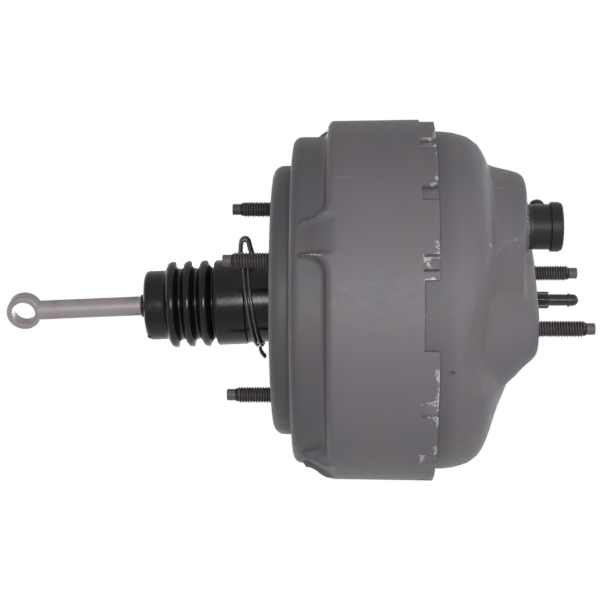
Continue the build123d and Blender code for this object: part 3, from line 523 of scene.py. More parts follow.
# ---------------------------------------------------------------- mesh tools
def rounded(points: Profile, radii: list[float], steps: int = 6) -> Profile:
    """Rounds the inner corners of an open outline with arcs.

    Args:
        points: Corners of the outline, as (x, radius).
        radii: One radius for each inner corner, 0 for a sharp one.
        steps: Runs in each arc.

    Returns:
        The outline with its corners replaced by arcs.
    """
    result = [points[0]]
    for number, radius in enumerate(radii, start=1):
        corner = Vector(points[number])
        back = (Vector(points[number - 1]) - corner).normalized()
        ahead = (Vector(points[number + 1]) - corner).normalized()
        half = back.angle(ahead) / 2
        if radius <= 0 or half > pi / 2 - 1e-4:
            result.append(tuple(corner))
            continue
        reach = radius * cos(half) / sin(half)
        middle = corner + (back + ahead).normalized() * (radius / sin(half))
        start, end = corner + back * reach, corner + ahead * reach
        first = start - middle
        sweep = first.angle_signed(end - middle)
        for step in range(steps + 1):
            turn = Matrix.Rotation(-sweep * step / steps, 2)
            result.append(tuple(middle + turn @ first))
    result.append(points[-1])
    return result


def divided(points: Profile, longest: float) -> Profile:
    """Divides the runs of an outline so that none is longer than a length."""
    result = [points[0]]
    for start, end in zip(points, points[1:]):
        count = max(1, int(hypot(end[0] - start[0], end[1] - start[1]) / longest + 0.999))
        for step in range(1, count + 1):
            share = step / count
            result.append((start[0] + (end[0] - start[0]) * share,
                           start[1] + (end[1] - start[1]) * share))
    return result


@dataclass(frozen=True)
class Axle:
    """An axis that round pieces are turned about; outlines are (along, radius) in millimetres."""

    origin: Vector = field(default_factory=lambda: Vector((0.0, 0.0, 0.0)))
    along: Vector = field(default_factory=lambda: Vector((1.0, 0.0, 0.0)))
    out: Vector = field(default_factory=lambda: Vector((0.0, -1.0, 0.0)))

    def point(self, along: float, radius: float) -> Vector:
        """Returns a point of the outline in metres."""
        return (self.origin + self.along * along + self.out * radius) * MM


def outline_edges(mesh: bmesh.types.BMesh, axle: Axle, profile: Profile) -> list:
    """Adds an open outline to a mesh and returns its vertices and edges."""
    verts = [mesh.verts.new(axle.point(*point)) for point in profile]
    edges = [mesh.edges.new(pair) for pair in zip(verts, verts[1:])]
    return verts + edges


def spin(mesh: bmesh.types.BMesh, geometry: list, centre: Vector, axis: Vector, angle: float,
         steps: int, advance: Vector = ORIGIN, merge: bool = False) -> list:
    """Carries an outline round an axis.

    Args:
        mesh: The mesh that holds the outline.
        geometry: Vertices and edges of the outline.
        centre: A point of the axis in metres.
        axis: Direction of the axis.
        angle: The whole turn in radians.
        steps: Facets in the turn.
        advance: Way along the axis at each step, in metres.
        merge: Whether the end of a full circle joins its start.

    Returns:
        Vertices and edges at the end of the turn.
    """
    turned = bmesh.ops.spin(mesh, geom=geometry, cent=centre, axis=axis, dvec=advance,
                            angle=angle, steps=steps, use_merge=merge, use_normal_flip=False,
                            use_duplicate=False)
    return turned["geom_last"]


def clean(mesh: bmesh.types.BMesh, distance: float = 1e-6) -> None:
    """Joins vertices that coincide and turns the faces outwards."""
    bmesh.ops.remove_doubles(mesh, verts=mesh.verts, dist=distance)
    bmesh.ops.recalc_face_normals(mesh, faces=mesh.faces)


def lathe(profile: Profile, steps: int = 96, axle: Axle = Axle()) -> bmesh.types.BMesh:
    """Turns an outline a full circle about an axle.

    Args:
        profile: Outline as (along, radius) in millimetres.
        steps: Facets round the circle.
        axle: The axis.

    Returns:
        A mesh whose faces point outwards.
    """
    mesh = bmesh.new()
    geometry = outline_edges(mesh, axle, profile)
    spin(mesh, geometry, axle.origin * MM, axle.along, 2 * pi, steps, merge=True)
    clean(mesh)
    return mesh


def thicken(mesh: bmesh.types.BMesh, thickness: float) -> None:
    """Gives an open skin a wall on its inner side."""
    bmesh.ops.recalc_face_normals(mesh, faces=mesh.faces)
    bmesh.ops.solidify(mesh, geom=mesh.faces[:], thickness=thickness * MM)


def to_piece(name: str, mesh: bmesh.types.BMesh, smooth_angle: float = 35.0) -> bpy.types.Object:
    """Makes a finished object from a mesh.

    Args:
        name: Name of the piece.
        mesh: The mesh, which is freed.
        smooth_angle: Edges sharper than this, in degrees, stay sharp.

    Returns:
        The object, at the origin.
    """
    data = bpy.data.meshes.new(name)
    for face in mesh.faces:
        face.smooth = True
    for edge in mesh.edges:
        if len(edge.link_faces) == 2 and edge.calc_face_angle(0.0) > radians(smooth_angle):
            edge.smooth = False
    mesh.to_mesh(data)
    mesh.free()
    piece = bpy.data.objects.new(name, data)
    bpy.context.scene.collection.objects.link(piece)
    return piece


def join_mesh(target: bmesh.types.BMesh, source: bmesh.types.BMesh) -> None:
    """Adds one mesh to another and frees the first."""
    data = bpy.data.meshes.new("joined")
    source.to_mesh(data)
    source.free()
    target.from_mesh(data)
    bpy.data.meshes.remove(data)


def mark(piece: bpy.types.Object, name: str, value: Callable[[Vector], float]) -> None:
    """Writes a number for each vertex into an attribute that a material reads."""
    attribute = piece.data.attributes.new(name, "FLOAT", "POINT")
    attribute.data.foreach_set("value", [value(vertex.co) for vertex in piece.data.vertices])


def mark_edges(piece: bpy.types.Object, full: float = 1.2) -> None:
    """Writes how convex the surface is at each vertex into the attribute edge.

    Args:
        piece: The finished piece.
        full: Radius of an edge, in millimetres, that counts as fully sharp.
    """
    mesh = bmesh.new()
    mesh.from_mesh(piece.data)
    values = []
    for vertex in mesh.verts:
        bend = 0.0
        for edge in vertex.link_edges:
            away = edge.other_vert(vertex).co - vertex.co
            length = away.length
            if length > 1e-7:
                bend = max(bend, -2 * away.dot(vertex.normal) / length ** 2)
        values.append(min(1.0, bend * full * MM))
    mesh.free()
    attribute = piece.data.attributes.new("edge", "FLOAT", "POINT")
    attribute.data.foreach_set("value", values)


def wire(points: list[Vector], radius: float, sides: int = 12) -> bmesh.types.BMesh:
    """Draws a round wire through a few points with a smooth curve.

    Args:
        points: Points that the wire passes, in millimetres.
        radius: Radius of the wire in millimetres.
        sides: Facets round the wire.

    Returns:
        The wire as a closed mesh.
    """
    curve = bpy.data.curves.new("wire", "CURVE")
    curve.dimensions = "3D"
    curve.bevel_depth = radius * MM
    curve.bevel_resolution = sides // 4
    curve.resolution_u = 8
    curve.use_fill_caps = True
    spline = curve.splines.new("BEZIER")
    spline.bezier_points.add(len(points) - 1)
    for knot, point in zip(spline.bezier_points, points):
        knot.co = point * MM
        knot.handle_left_type = knot.handle_right_type = "AUTO"
    holder = bpy.data.objects.new("wire", curve)
    mesh = bmesh.new()
    mesh.from_mesh(bpy.data.meshes.new_from_object(holder))
    bpy.data.objects.remove(holder)
    clean(mesh)
    return mesh


def smooth_step(value: float, low: float, high: float) -> float:
    """Returns 0 below low, 1 above high and an eased value between."""
    share = min(1.0, max(0.0, (value - low) / (high - low)))
    return share * share * (3 - 2 * share)


def soft_max(a: float, b: float, blend: float) -> float:
    """Returns the larger of two heights, rounded where they meet."""
    gap = max(0.0, blend - abs(a - b)) / blend
    return max(a, b) + gap * gap * blend / 4


def soft_min(a: float, b: float, blend: float) -> float:
    """Returns the smaller of two heights, rounded where they meet."""
    return -soft_max(-a, -b, blend)


def through(points: Profile, value: float) -> float:
    """Reads a height from a curve through a few points, straight beyond its ends."""
    for (x0, y0), (x1, y1) in zip(points, points[1:]):
        if value <= x1 or (x1, y1) == points[-1]:
            return y0 + (y1 - y0) * (value - x0) / (x1 - x0)
    return points[-1][1]


def station(point: Vector) -> tuple[float, float, float]:
    """Returns x, radius and angle of a point, in millimetres and degrees from -Y towards +Z."""
    return point.x / MM, hypot(point.y, point.z) / MM, degrees(atan2(point.z, -point.y)) % 360


# ---------------------------------------------------------------- sub-assemblies
@dataclass
class RearShell:
    """Pressed rear shell: three tiers, four pockets, notched rim and twelve lanced tabs."""

    wardrobe: Wardrobe
    sheet: float = 2.0
    neck_r: float = 22.4
    neck_end: float = -15.0
    flare_r: float = 24.3
    flare_x: float = -8.6
    face_r: float = 81.2
    tier_x: float = 12.0
    pocket_r: float = 98.4
    pocket_floor: float = 32.5
    pocket_angle: float = 78.0
    pocket_turn: float = -2.0
    pocket_root: float = 3.2
    pocket_edge: float = 4.2
    cone_start: float = 20.4
    cone_end: float = 37.5
    case_r: float = 108.0
    rim_r: float = 108.7
    rim_x: float = 95.0
    notch_start: float = 8.0
    notch_angle: float = 20.8
    notch_depth: float = 8.5
    tab_first: float = 33.75
    tab_step: float = 22.5
    tab_width: float = 7.2
    tab_length: float = 8.0
    tab_tilt: float = 12.0
    slit: float = 1.5
    root_slit: float = 1.2
    sink: float = 0.9
    stud_place: float = 42.86
    stud_hole_r: float = 3.6
    pocket_corner: float = 11.0
    cone_blend: float = 1.5
    case_blend: float = 1.6
    bridge_out: float = 3.0
    bridge_in: float = -2.0
    shoulder_x: float = 27.0
    shoulder_end: float = 38.5
    shoulder_step: float = 0.33

    @property
    def edge_x(self) -> float:
        """Station of the notches' floor."""
        return self.rim_x - self.notch_depth

    @property
    def tab_x(self) -> float:
        """Station of the root of a tab's opening."""
        return self.rim_x - self.tab_length - self.root_slit

    @property
    def tab_half(self) -> float:
        """Half the angle of a tab's opening, in degrees."""
        return degrees(asin((self.tab_width / 2 + self.slit) / self.rim_r))

    @property
    def tabs(self) -> list[float]:
        """Angles of the twelve tabs."""
        return [self.tab_first + self.tab_step * number + 90 * quarter
                for quarter in range(4) for number in range(3)]

    def sectors(self) -> list[tuple[float, int]]:
        """Angles and step counts of one quarter, closer at the ends of the pockets."""
        near = 2.6
        end = self.pocket_angle / 2
        stops = {0.0: 0, self.notch_start: 8, self.notch_start + self.notch_angle: 20}
        for number in range(3):
            middle = self.tab_first + self.tab_step * number
            stops[middle - self.tab_half] = 0
            stops[middle + self.tab_half] = 5
        for middle in (end + self.pocket_turn, 90 - end + self.pocket_turn):
            stops[middle - near] = 0
            stops[middle + near] = 16
        stops[90.0] = 0
        angles = sorted(stops)
        return [(after - before, stops[after] or max(1, round((after - before) / 1.0)))
                for before, after in zip(angles, angles[1:])]

    def skin(self) -> bmesh.types.BMesh:
        """Turns the outer skin, with more steps where the form needs them."""
        profile = rounded(
            [(self.neck_end, self.neck_r), (self.flare_x - 1, self.neck_r),
             (self.flare_x, self.flare_r), (0.0, self.flare_r), (0.0, self.face_r),
             (self.tier_x, self.face_r), (self.tier_x, self.pocket_r),
             (self.shoulder_x, self.pocket_r)],
            [0.3, 0.5, 4.5, 6.5, 1.8, 5.5])
        profile = divided(profile, 3.0)
        count = round((self.shoulder_end - self.shoulder_x) / self.shoulder_step)
        profile += [(self.shoulder_x + self.shoulder_step * number, self.pocket_r)
                    for number in range(1, count + 1)]
        profile += [(x, self.case_r) for x in (48.0, 60.0, 72.0, 82.0, self.tab_x, self.edge_x)]
        profile += [(self.rim_x - 0.4, self.rim_r), (self.rim_x, self.rim_r - 0.4)]
        mesh = bmesh.new()
        geometry = outline_edges(mesh, Axle(), profile)
        for _quarter in range(4):
            for angle, steps in self.sectors():
                geometry = spin(mesh, geometry, ORIGIN, -AXIS, radians(angle), steps)
        bmesh.ops.remove_doubles(mesh, verts=mesh.verts, dist=2e-6)
        return mesh

    def outside(self, x: float, angle: float) -> float:
        """Radius of the shoulder and case at a station.

        Args:
            x: Station along the axis in millimetres.
            angle: Angle round the axis in degrees.

        Returns:
            The radius in millimetres.
        """
        from_pocket = abs((angle - self.pocket_turn + 45) % 90 - 45)
        half = self.pocket_angle / 2
        case = self.case_r + max(0.0, x - self.cone_end) * (
            self.rim_r - self.case_r) / (self.rim_x - self.cone_end)
        slope = (self.case_r - self.pocket_r) / (self.cone_end - self.cone_start)
        rise = self.pocket_r + (x - self.cone_start) * slope
        cone = soft_min(soft_max(self.pocket_r, rise, self.cone_blend), case, self.case_blend)
        over = (from_pocket - half) * radians(self.pocket_r)
        top = cone + (case - cone) * smooth_step(over, self.bridge_out, self.bridge_in)
        corner = self.pocket_corner
        aside, ahead = over + corner, x - self.pocket_floor + corner
        gap = hypot(max(aside, 0.0), max(ahead, 0.0)) + min(max(aside, ahead), 0.0) - corner
        return self.pocket_r + (top - self.pocket_r) * self.wall(gap)

    def wall(self, gap: float) -> float:
        """Share of the pocket wall's height at a distance outside the wall's foot."""
        root, edge = self.pocket_root, self.pocket_edge
        share = root / (root + edge)
        if gap <= -root:
            return 0.0
        if gap < 0:
            return share * (1 - sqrt(1 - (gap / root + 1) ** 2))
        if gap < edge:
            return share + (1 - share) * sqrt(1 - (1 - gap / edge) ** 2)
        return 1.0

    def cut(self, mesh: bmesh.types.BMesh) -> None:
        """Takes the notches, tab openings and stud holes out of the skin."""
        gone = []
        for face in mesh.faces:
            middle = face.calc_center_median()
            x, _radius, angle = station(middle)
            quarter = angle % 90
            notch = x > self.edge_x and 0 < quarter - self.notch_start < self.notch_angle
            tab = x > self.tab_x and any(
                abs(quarter - self.tab_first - self.tab_step * number) < self.tab_half
                for number in range(3))
            hole = abs(x) < 1 and hypot(abs(middle.y) / MM - self.stud_place,
                                        abs(middle.z) / MM - self.stud_place) < self.stud_hole_r
            if notch or tab or hole:
                gone.append(face)
        bmesh.ops.delete(mesh, geom=gone, context="FACES")

    def tab_mesh(self) -> bmesh.types.BMesh:
        """Builds the twelve tabs, each one tilted in its opening."""
        mesh = bmesh.new()
        for angle in self.tabs:
            made = bmesh.ops.create_cube(mesh, size=1.0)
            verts = made["verts"]
            size = Vector((self.tab_length + 1.5, self.sheet, self.tab_width)) * MM
            bmesh.ops.scale(mesh, vec=size, verts=verts)
            edges = {edge for vert in verts for edge in vert.link_edges}
            bevelled = bmesh.ops.bevel(mesh, geom=list(edges), offset=0.28 * MM, segments=2,
                                       profile=0.5, affect="EDGES", material=-1)
            verts = list({vert for face in bevelled["faces"] for vert in face.verts})
            place = (Matrix.Rotation(-radians(angle), 4, "X")
                     @ Matrix.Translation(Vector((self.rim_x - self.tab_length / 2 - 0.8,
                                                  self.sink + self.sheet / 2 - self.rim_r,
                                                  0)) * MM)
                     @ Matrix.Rotation(-radians(self.tab_tilt), 4, "X"))
            bmesh.ops.transform(mesh, matrix=place, verts=verts)
        return mesh

    def rub(self, point: Vector) -> float:
        """Tells how much the coating was rubbed at a point of the rim and shoulder."""
        x, radius, _angle = station(point)
        rim = smooth_step(x, self.rim_x - 0.9, self.rim_x - 0.3)
        corner = smooth_step(abs(x - self.edge_x), 0.9, 0.2) * 0.5
        edge = self.pocket_floor + self.pocket_edge - 0.8
        shoulder = smooth_step(abs(x - edge), 1.0, 0.3) * smooth_step(
            radius, self.case_r - 1.0, self.case_r - 0.2)
        tier = smooth_step(abs(x - self.tier_x - 3.6), 0.9, 0.2) * 0.62
        tier *= radius > self.pocket_r - 2
        return max(0.62 * rim, corner, 0.8 * shoulder, tier)

    def painted_shade(self, point: Vector) -> float:
        """Tells how much painted shade darkens the recessed rear tiers and pockets against the case.
        """
        x, _radius, _angle = station(point)
        return smooth_step(-x, -(self.pocket_floor + 14.0), -(self.tier_x - 4.0))

    def build(self) -> list[bpy.types.Object]:
        """Builds the shell and its tabs.

        Returns:
            The finished pieces.
        """
        mesh = self.skin()
        for vertex in mesh.verts:
            x, radius, angle = station(vertex.co)
            if radius > self.pocket_r - 0.01 and 19.0 < x < self.rim_x - 0.5:
                wanted = self.outside(x, angle)
                vertex.co.y *= wanted / radius
                vertex.co.z *= wanted / radius
        self.cut(mesh)
        thicken(mesh, self.sheet)
        join_mesh(mesh, self.tab_mesh())
        shell = to_piece("rear_shell_skin", mesh)
        mark_edges(shell)
        mark(shell, "rub", self.rub)
        # painted shade on the recessed rear tiers and pockets
        mark(shell, "painted_shade", self.painted_shade)
        self.wardrobe.dress(shell, Slot.SHELL)
        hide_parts("rear_shell", "neck_sleeve")
        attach(shell, "housing")
        return [shell]


@dataclass
class FrontShell:
    """Pressed front shell: shoulder, scooped sides, raised lobe and master cylinder pad."""

    wardrobe: Wardrobe
    sheet: float = 2.0
    flange_x: float = 86.4
    flange_r: float = 105.5
    case_r: float = 101.5
    case_end: float = 100.0
    lobe_x: float = 150.0
    lobe_crown_r: float = 340.0
    pad_x: float = 154.6
    pad_r: float = 34.0
    ear_r: float = 19.0
    ear_place: float = 36.0
    pad_draft: float = 34.0
    seat_r: float = 13.95
    hole_r: float = 13.0
    valve_y: float = -10.0
    valve_z: float = 50.9
    stud_place: float = 42.86
    wall_x: float = 149.0
    wall_r: float = 76.3
    wall_slope: float = 4.2
    scoop_lift: float = 16.0
    seat_slope: float = 4.0
    valve_hole_r: float = 8.0
    stud_hole_r: float = 4.2
    lobe_blend: float = 7.0
    foot_blend: float = 6.0
    foot_slope: float = 0.9
    foot_drop: float = 2.0
    dome_blend: float = 6.0
    crease_blend: float = 1.6
    pad_crest_blend: float = 5.0
    pad_foot_blend: float = 4.0
    pad_swell: float = 3.8
    shoulder: Profile = field(default_factory=lambda: [
        (50.0, 139.0), (54.2, 138.0), (65.6, 133.1), (79.6, 128.3), (86.3, 125.8), (91.0, 123.4),
        (94.1, 121.0), (97.9, 116.1), (100.2, 109.5), (101.2, 104.5), (101.5, 100.0)])
    flank: Profile = field(default_factory=lambda: [
        (38.0, 160.0), (43.0, 155.0), (46.3, 149.5), (50.0, 142.0), (55.2, 133.8), (60.0, 129.2),
        (66.5, 125.2), (80.1, 120.4), (90.1, 116.2), (101.5, 108.0)])

    def height(self, y: float, z: float) -> float:
        """Station of the dome's surface above a point of the cross-section.

        Args:
            y: Across, in millimetres.
            z: Up, in millimetres.

        Returns:
            The x of the surface in millimetres.
        """
        radius = hypot(y, z)
        base = through(self.shoulder, radius)
        wall = self.wall_x - self.wall_slope * (radius - self.wall_r)
        top = self.lobe_x - y * y / (2 * self.lobe_crown_r)
        foot = top + self.foot_slope * min(0.0, z + self.foot_drop)
        lobe = soft_min(soft_min(top, wall, self.lobe_blend), foot, self.foot_blend)
        dome = soft_max(base, lobe, self.dome_blend)
        lift = self.scoop_lift * smooth_step(-z, -6.0, 62.0)
        scoop = through(self.flank, abs(y)) + lift
        dome = soft_min(dome, scoop, self.crease_blend)
        seat = hypot(y - self.valve_y, z - self.valve_z) - self.seat_r
        dome = max(dome, self.lobe_x - self.seat_slope * max(0.0, seat))
        outside = self.outside_pad(abs(z), abs(y))
        outside -= self.pad_swell * smooth_step(outside, -1.0, 14.0) * smooth_step(-z, 10.0, 34.0)
        drop = outside / tan(radians(self.pad_draft))
        pad = soft_min(self.pad_x, self.pad_x - drop, self.pad_crest_blend)
        return soft_max(dome, pad, self.pad_foot_blend)

    def outside_pad(self, up: float, aside: float) -> float:
        """Distance outside the pad's outline, a hull round a disc and two ears.

        Args:
            up: Height above or below the pad's middle.
            aside: Distance beside the pad's middle.

        Returns:
            The distance, below 0 inside the outline.
        """
        lean = (self.pad_r - self.ear_r) / self.ear_place
        level = sqrt(1 - lean * lean)
        along = aside * level - up * lean
        if along < 0:
            return hypot(up, aside) - self.pad_r
        if along > level * self.ear_place:
            return hypot(up, aside - self.ear_place) - self.ear_r
        return up * level + aside * lean - self.pad_r

    def rows(self) -> Profile:
        """Radii of the rings, closer where the lobe's wall is steep."""
        wall_step, dome_step, middle_step = 0.62, 1.35, 2.4
        wall_from, wall_to, middle_to = 70, 84, 28
        radii = []
        radius = self.hole_r
        while radius < self.case_r - 0.4:
            radii.append(radius)
            if wall_from < radius < wall_to:
                radius += wall_step
            else:
                radius += dome_step if radius > middle_to else middle_step
        front = [(self.pad_x, radius) for radius in radii]
        case = [(self.case_end, self.case_r), (93.0, self.case_r), (self.flange_x + 1.5, self.case_r),
                (self.flange_x + 0.4, self.case_r + 0.5), (self.flange_x, self.case_r + 1.6),
                (self.flange_x, self.flange_r)]
        return front + case

    def build(self) -> list[bpy.types.Object]:
        """Builds the shell.

        Returns:
            The finished pieces.
        """
        mesh = lathe(self.rows(), 420)
        for vertex in mesh.verts:
            if vertex.co.x / MM > self.case_end + 0.1:
                vertex.co.x = self.height(vertex.co.y / MM, vertex.co.z / MM) * MM
        self.cut(mesh)
        thicken(mesh, self.sheet)
        shell = to_piece("front_shell_skin", mesh, 50.0)
        mark_edges(shell, 2.4)
        mark(shell, "rub", self.rub)
        # painted shade beside the rear shell's rim
        mark(shell, "painted_shade", self.painted_shade)
        self.wardrobe.dress(shell, Slot.SHELL)
        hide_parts("front_shell")
        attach(shell, "housing")
        return [shell]

    def cut(self, mesh: bmesh.types.BMesh) -> None:
        holes = [(self.valve_y, self.valve_z, self.valve_hole_r),
                 (self.stud_place, 0.0, self.stud_hole_r),
                 (-self.stud_place, 0.0, self.stud_hole_r)]
        dome_x = 140
        gone = []
        for face in mesh.faces:
            middle = face.calc_center_median()
            if middle.x / MM > dome_x and any(
                    hypot(middle.y / MM - y, middle.z / MM - z) < radius
                    for y, z, radius in holes):
                gone.append(face)
        bmesh.ops.delete(mesh, geom=gone, context="FACES")

    def painted_shade(self, point: Vector) -> float:
        """Tells how much painted shade darkens the coating beside the rear shell's rim."""
        return 0.5 * smooth_step(-point.x / MM, -self.case_end - 7.0, -self.case_end + 3.0)

    def rub(self, point: Vector) -> float:
        """Tells how much the coating was rubbed at a point of the crease and the shoulder."""
        y, z = point.y / MM, point.z / MM
        radius = hypot(y, z)
        crease = exp(-((through(self.flank, abs(y)) - through(self.shoulder, radius)) / 0.8) ** 2)
        crease *= smooth_step(z, 30, 45) * smooth_step(abs(y), 94, 88)
        top = smooth_step(abs(radius - 88.0), 5.0, 1.0) * smooth_step(
            abs(degrees(atan2(z, -y)) - 96), 16, 6)
        corner = exp(-(((abs(y) - 47) / 5) ** 2 + ((z - 60) / 6) ** 2))
        bead = 0.55 * exp(-((abs(y) - 46.8) / 0.9) ** 2) * smooth_step(z, 4, 18)
        return max(0.8 * crease, 0.5 * top, 0.8 * corner, bead)


@dataclass
class Stud:
    """One threaded stud with a dog point, turned and threaded along its own axis."""

    root: Vector
    along: Vector
    reach: float
    grip: float = 5.2
    head_r: float = 8.0
    head_t: float = 3.6
    thread_r: float = 4.76
    thread_root: float = 3.98
    pitch: float = 25.4 / 16
    dog_r: float = 3.4
    dog_length: float = 5.0

    def axle(self) -> Axle:
        """Returns the axis of the stud."""
        return Axle(self.root, self.along, Vector((0.0, 0.0, 1.0)))

    def blank(self) -> bmesh.types.BMesh:
        """Turns the head, shank and dog point."""
        back = -self.grip
        shoulder = self.reach - self.dog_length
        corners = [(back - self.head_t, 0.0), (back - self.head_t, self.head_r),
                   (back, self.head_r), (back, self.thread_root),
                   (shoulder - 0.8, self.thread_root), (shoulder, self.dog_r),
                   (self.reach, self.dog_r), (self.reach, 0.0)]
        profile = rounded(corners, [0.4, 0.4, 0, 0.2, 0.4, 0.6], 3)
        return lathe(profile, 40, self.axle())

    def thread(self) -> bmesh.types.BMesh:
        """Winds the thread as one ridge carried round and along the axis."""
        mesh = bmesh.new()
        start = -self.pitch
        run_out = 0.9
        length = self.reach - self.dog_length - run_out - start
        turns = length / self.pitch - 1
        steps = 30
        half = self.pitch / 2
        ridge = [(start, self.thread_root - 0.05), (start + 0.10 * half, self.thread_root),
                 (start + 0.88 * half, self.thread_r), (start + 1.12 * half, self.thread_r),
                 (start + 1.90 * half, self.thread_root), (start + 2 * half, self.thread_root - 0.05)]
        geometry = outline_edges(mesh, self.axle(), ridge)
        count = round(turns * steps)
        spin(mesh, geometry, self.root * MM, self.along, 2 * pi * count / steps, count,
             advance=self.along * (self.pitch / steps * MM))
        clean(mesh, 2e-6)
        return mesh

    def painted_shade(self, point: Vector) -> float:
        """Tells how deep a point lies between the threads of its stud, for the painted shade in the
        thread roots.
        """
        aside = abs(point.y / MM) - abs(self.root.y)
        above = abs(point.z / MM) - abs(self.root.z)
        dog = abs(point.x / MM - self.root.x) > self.reach - self.dog_length
        return 0.0 if dog else smooth_step(-hypot(aside, above), -self.thread_r + 0.1,
                                           -self.thread_root - 0.15)

    def mesh(self) -> bmesh.types.BMesh:
        """Returns the whole stud."""
        mesh = self.blank()
        join_mesh(mesh, self.thread())
        return mesh


@dataclass
class Studs:
    """The firewall studs and the master cylinder studs."""

    wardrobe: Wardrobe
    place: float = 42.86
    pad_x: float = 154.6
    firewall_reach: float = 27.2
    master_reach: float = 33.2

    def build(self) -> list[bpy.types.Object]:
        """Builds both sets of studs.

        Returns:
            The finished pieces.
        """
        near, far = -self.place, self.place
        rear = [Stud(Vector((0.0, y, z)), -AXIS, self.firewall_reach)
                for y in (near, far) for z in (near, far)]
        front = [Stud(Vector((self.pad_x, y, 0.0)), AXIS.copy(), self.master_reach)
                 for y in (near, far)]
        pieces = []
        for name, studs in (("firewall_studs", rear), ("master_cylinder_studs", front)):
            mesh = bmesh.new()
            for stud in studs:
                join_mesh(mesh, stud.mesh())
            piece = to_piece(name + "_threaded", mesh, 50.0)
            # painted shade in the thread roots
            mark(piece, "painted_shade", studs[0].painted_shade)
            self.wardrobe.dress(piece, Slot.STUD)
            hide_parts(name)
            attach(piece, "housing")
            pieces.append(piece)
        return pieces


@dataclass
class Boot:
    """Rubber boot over the neck: cup, three convolutions and a sleeve that hangs with the rod."""

    wardrobe: Wardrobe
    droop: float = 2.64
    ball_x: float = 1.5
    wall: float = 1.5
    crests: int = 3
    pitch: float = 9.65
    end_x: float = -77.65
    cup_x: float = -65.35
    sleeve_x: float = -34.9
    sleeve_end: float = -16.3
    base_end: float = -0.3
    hole_r: float = 10.5
    cup_r: float = 21.3
    root_r: float = 21.8
    crest_r: float = 26.4
    sleeve_r: float = 26.1
    base_r: float = 25.4
    crest_half: float = 1.9
    root_half: float = 0.8
    stroke: float = 34.0

    @property
    def axle(self) -> Axle:
        """The drooping axis of the push rod."""
        lean = radians(self.droop)
        along = Vector((cos(lean), 0.0, sin(lean)))
        return Axle(AXIS * self.ball_x - along * self.ball_x, along)

    def bellows(self) -> Profile:
        """Outline of the cup, the convolutions and the sleeve."""
        corners = [(self.end_x, self.hole_r), (self.end_x, self.cup_r), (self.cup_x, self.cup_r)]
        radii = [3.0, 0.9]
        for number in range(self.crests):
            middle = self.cup_x + self.pitch * (number + 0.5)
            corners += [(middle - self.crest_half, self.crest_r),
                        (middle + self.crest_half, self.crest_r)]
            radii += [2.7, 2.7]
            if number < self.crests - 1:
                valley = middle + self.pitch / 2
                corners += [(valley - self.root_half, self.root_r),
                            (valley + self.root_half, self.root_r)]
                radii += [1.1, 1.1]
        corners += [(self.sleeve_x - 1.6, self.root_r), (self.sleeve_x - 0.9, self.root_r),
                    (self.sleeve_x, self.sleeve_r), (self.sleeve_end - 1.0, self.sleeve_r),
                    (self.sleeve_end, self.base_r + 0.2)]
        radii += [0.3, 0.3, 1.4, 0.6]
        return divided(rounded(corners, radii, 7), 1.5)

    def vent(self, mesh: bmesh.types.BMesh) -> None:
        """Adds the small moulded vent lip low on the cup's end."""
        turn, lip_r = radians(-42), 1.3
        made = bmesh.ops.create_uvsphere(mesh, u_segments=18, v_segments=12, radius=lip_r * MM)
        spot = self.axle.point(self.end_x + 1.6, self.cup_r - 0.9)
        bmesh.ops.translate(mesh, vec=spot, verts=made["verts"])
        bmesh.ops.rotate(mesh, cent=ORIGIN, matrix=Matrix.Rotation(-turn, 3, self.axle.along),
                         verts=made["verts"])

    def build(self) -> list[bpy.types.Object]:
        """Builds the bellows and the base, both fixed to the housing.

        Returns:
            The finished pieces.
        """
        bellows = lathe(self.bellows(), 144, self.axle)
        thicken(bellows, self.wall)
        self.vent(bellows)
        base = lathe(divided([(self.sleeve_end - 0.4, self.base_r), (self.base_end, self.base_r)],
                             2.0), 144, self.axle)
        thicken(base, self.wall)
        pieces = [to_piece("boot_bellows", bellows, 50.0), to_piece("boot_base", base, 50.0)]
        for piece in pieces:
            self.wardrobe.dress(piece, Slot.BOOT)
            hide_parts("boot")
            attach(piece, "housing")
        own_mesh(pieces[0])
        return pieces


@dataclass
class BootClip:
    """Sprung wire clip: two wires round the sleeve, a doubled ear on top and a hook below."""

    wardrobe: Wardrobe
    wire_r: float = 0.95
    ring_r: float = 26.9
    middle_x: float = -12.6
    gap: float = 2.7
    tilt: float = 8.5
    drop: float = -0.7
    ear_top: float = 39.4
    ear_wire_r: float = 1.45
    ear_spread: float = 2.5
    hook_spread: float = 1.9

    def hoop(self, x: float) -> list[Vector]:
        """Points of one wire round the sleeve, leaning back towards its top."""
        lean = tan(radians(self.tilt))
        points = []
        for step in range(25):
            turn = 2 * pi * step / 24
            up = self.ring_r * sin(turn)
            points.append(Vector((x - lean * up, -self.ring_r * cos(turn), up + self.drop)))
        return points

    def ear(self, y: float) -> list[Vector]:
        """Points of one wire of the ear."""
        foot = self.ring_r + self.drop - 0.6
        return [Vector((-20.2, y, foot)), Vector((-19.9, y, foot + 6)),
                Vector((-17.2, y + 1.0, self.ear_top)), Vector((-13.9, y + 0.6, foot + 7.5)),
                Vector((-12.4, y, foot))]

    def hook(self, y: float) -> list[Vector]:
        """Points of one wire of the hook."""
        foot = -self.ring_r + self.drop
        return [Vector((-8.6, y, foot + 0.8)), Vector((-9.4, y, foot - 4.0)),
                Vector((-8.8, y, foot - 6.8)), Vector((-6.4, y, foot - 10.4))]

    def build(self) -> list[bpy.types.Object]:
        """Builds the clip.

        Returns:
            The finished pieces.
        """
        mesh = bmesh.new()
        for side in (-0.5, 0.5):
            join_mesh(mesh, wire(self.hoop(self.middle_x + side * self.gap), self.wire_r))
            join_mesh(mesh, wire(self.ear(side * self.ear_spread), self.ear_wire_r))
            join_mesh(mesh, wire(self.hook(side * self.hook_spread), self.wire_r))
        clip = to_piece("boot_clip_wire", mesh, 60.0)
        self.wardrobe.dress(clip, Slot.CLIP)
        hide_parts("boot_clip")
        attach(clip, "housing")
        return [clip]


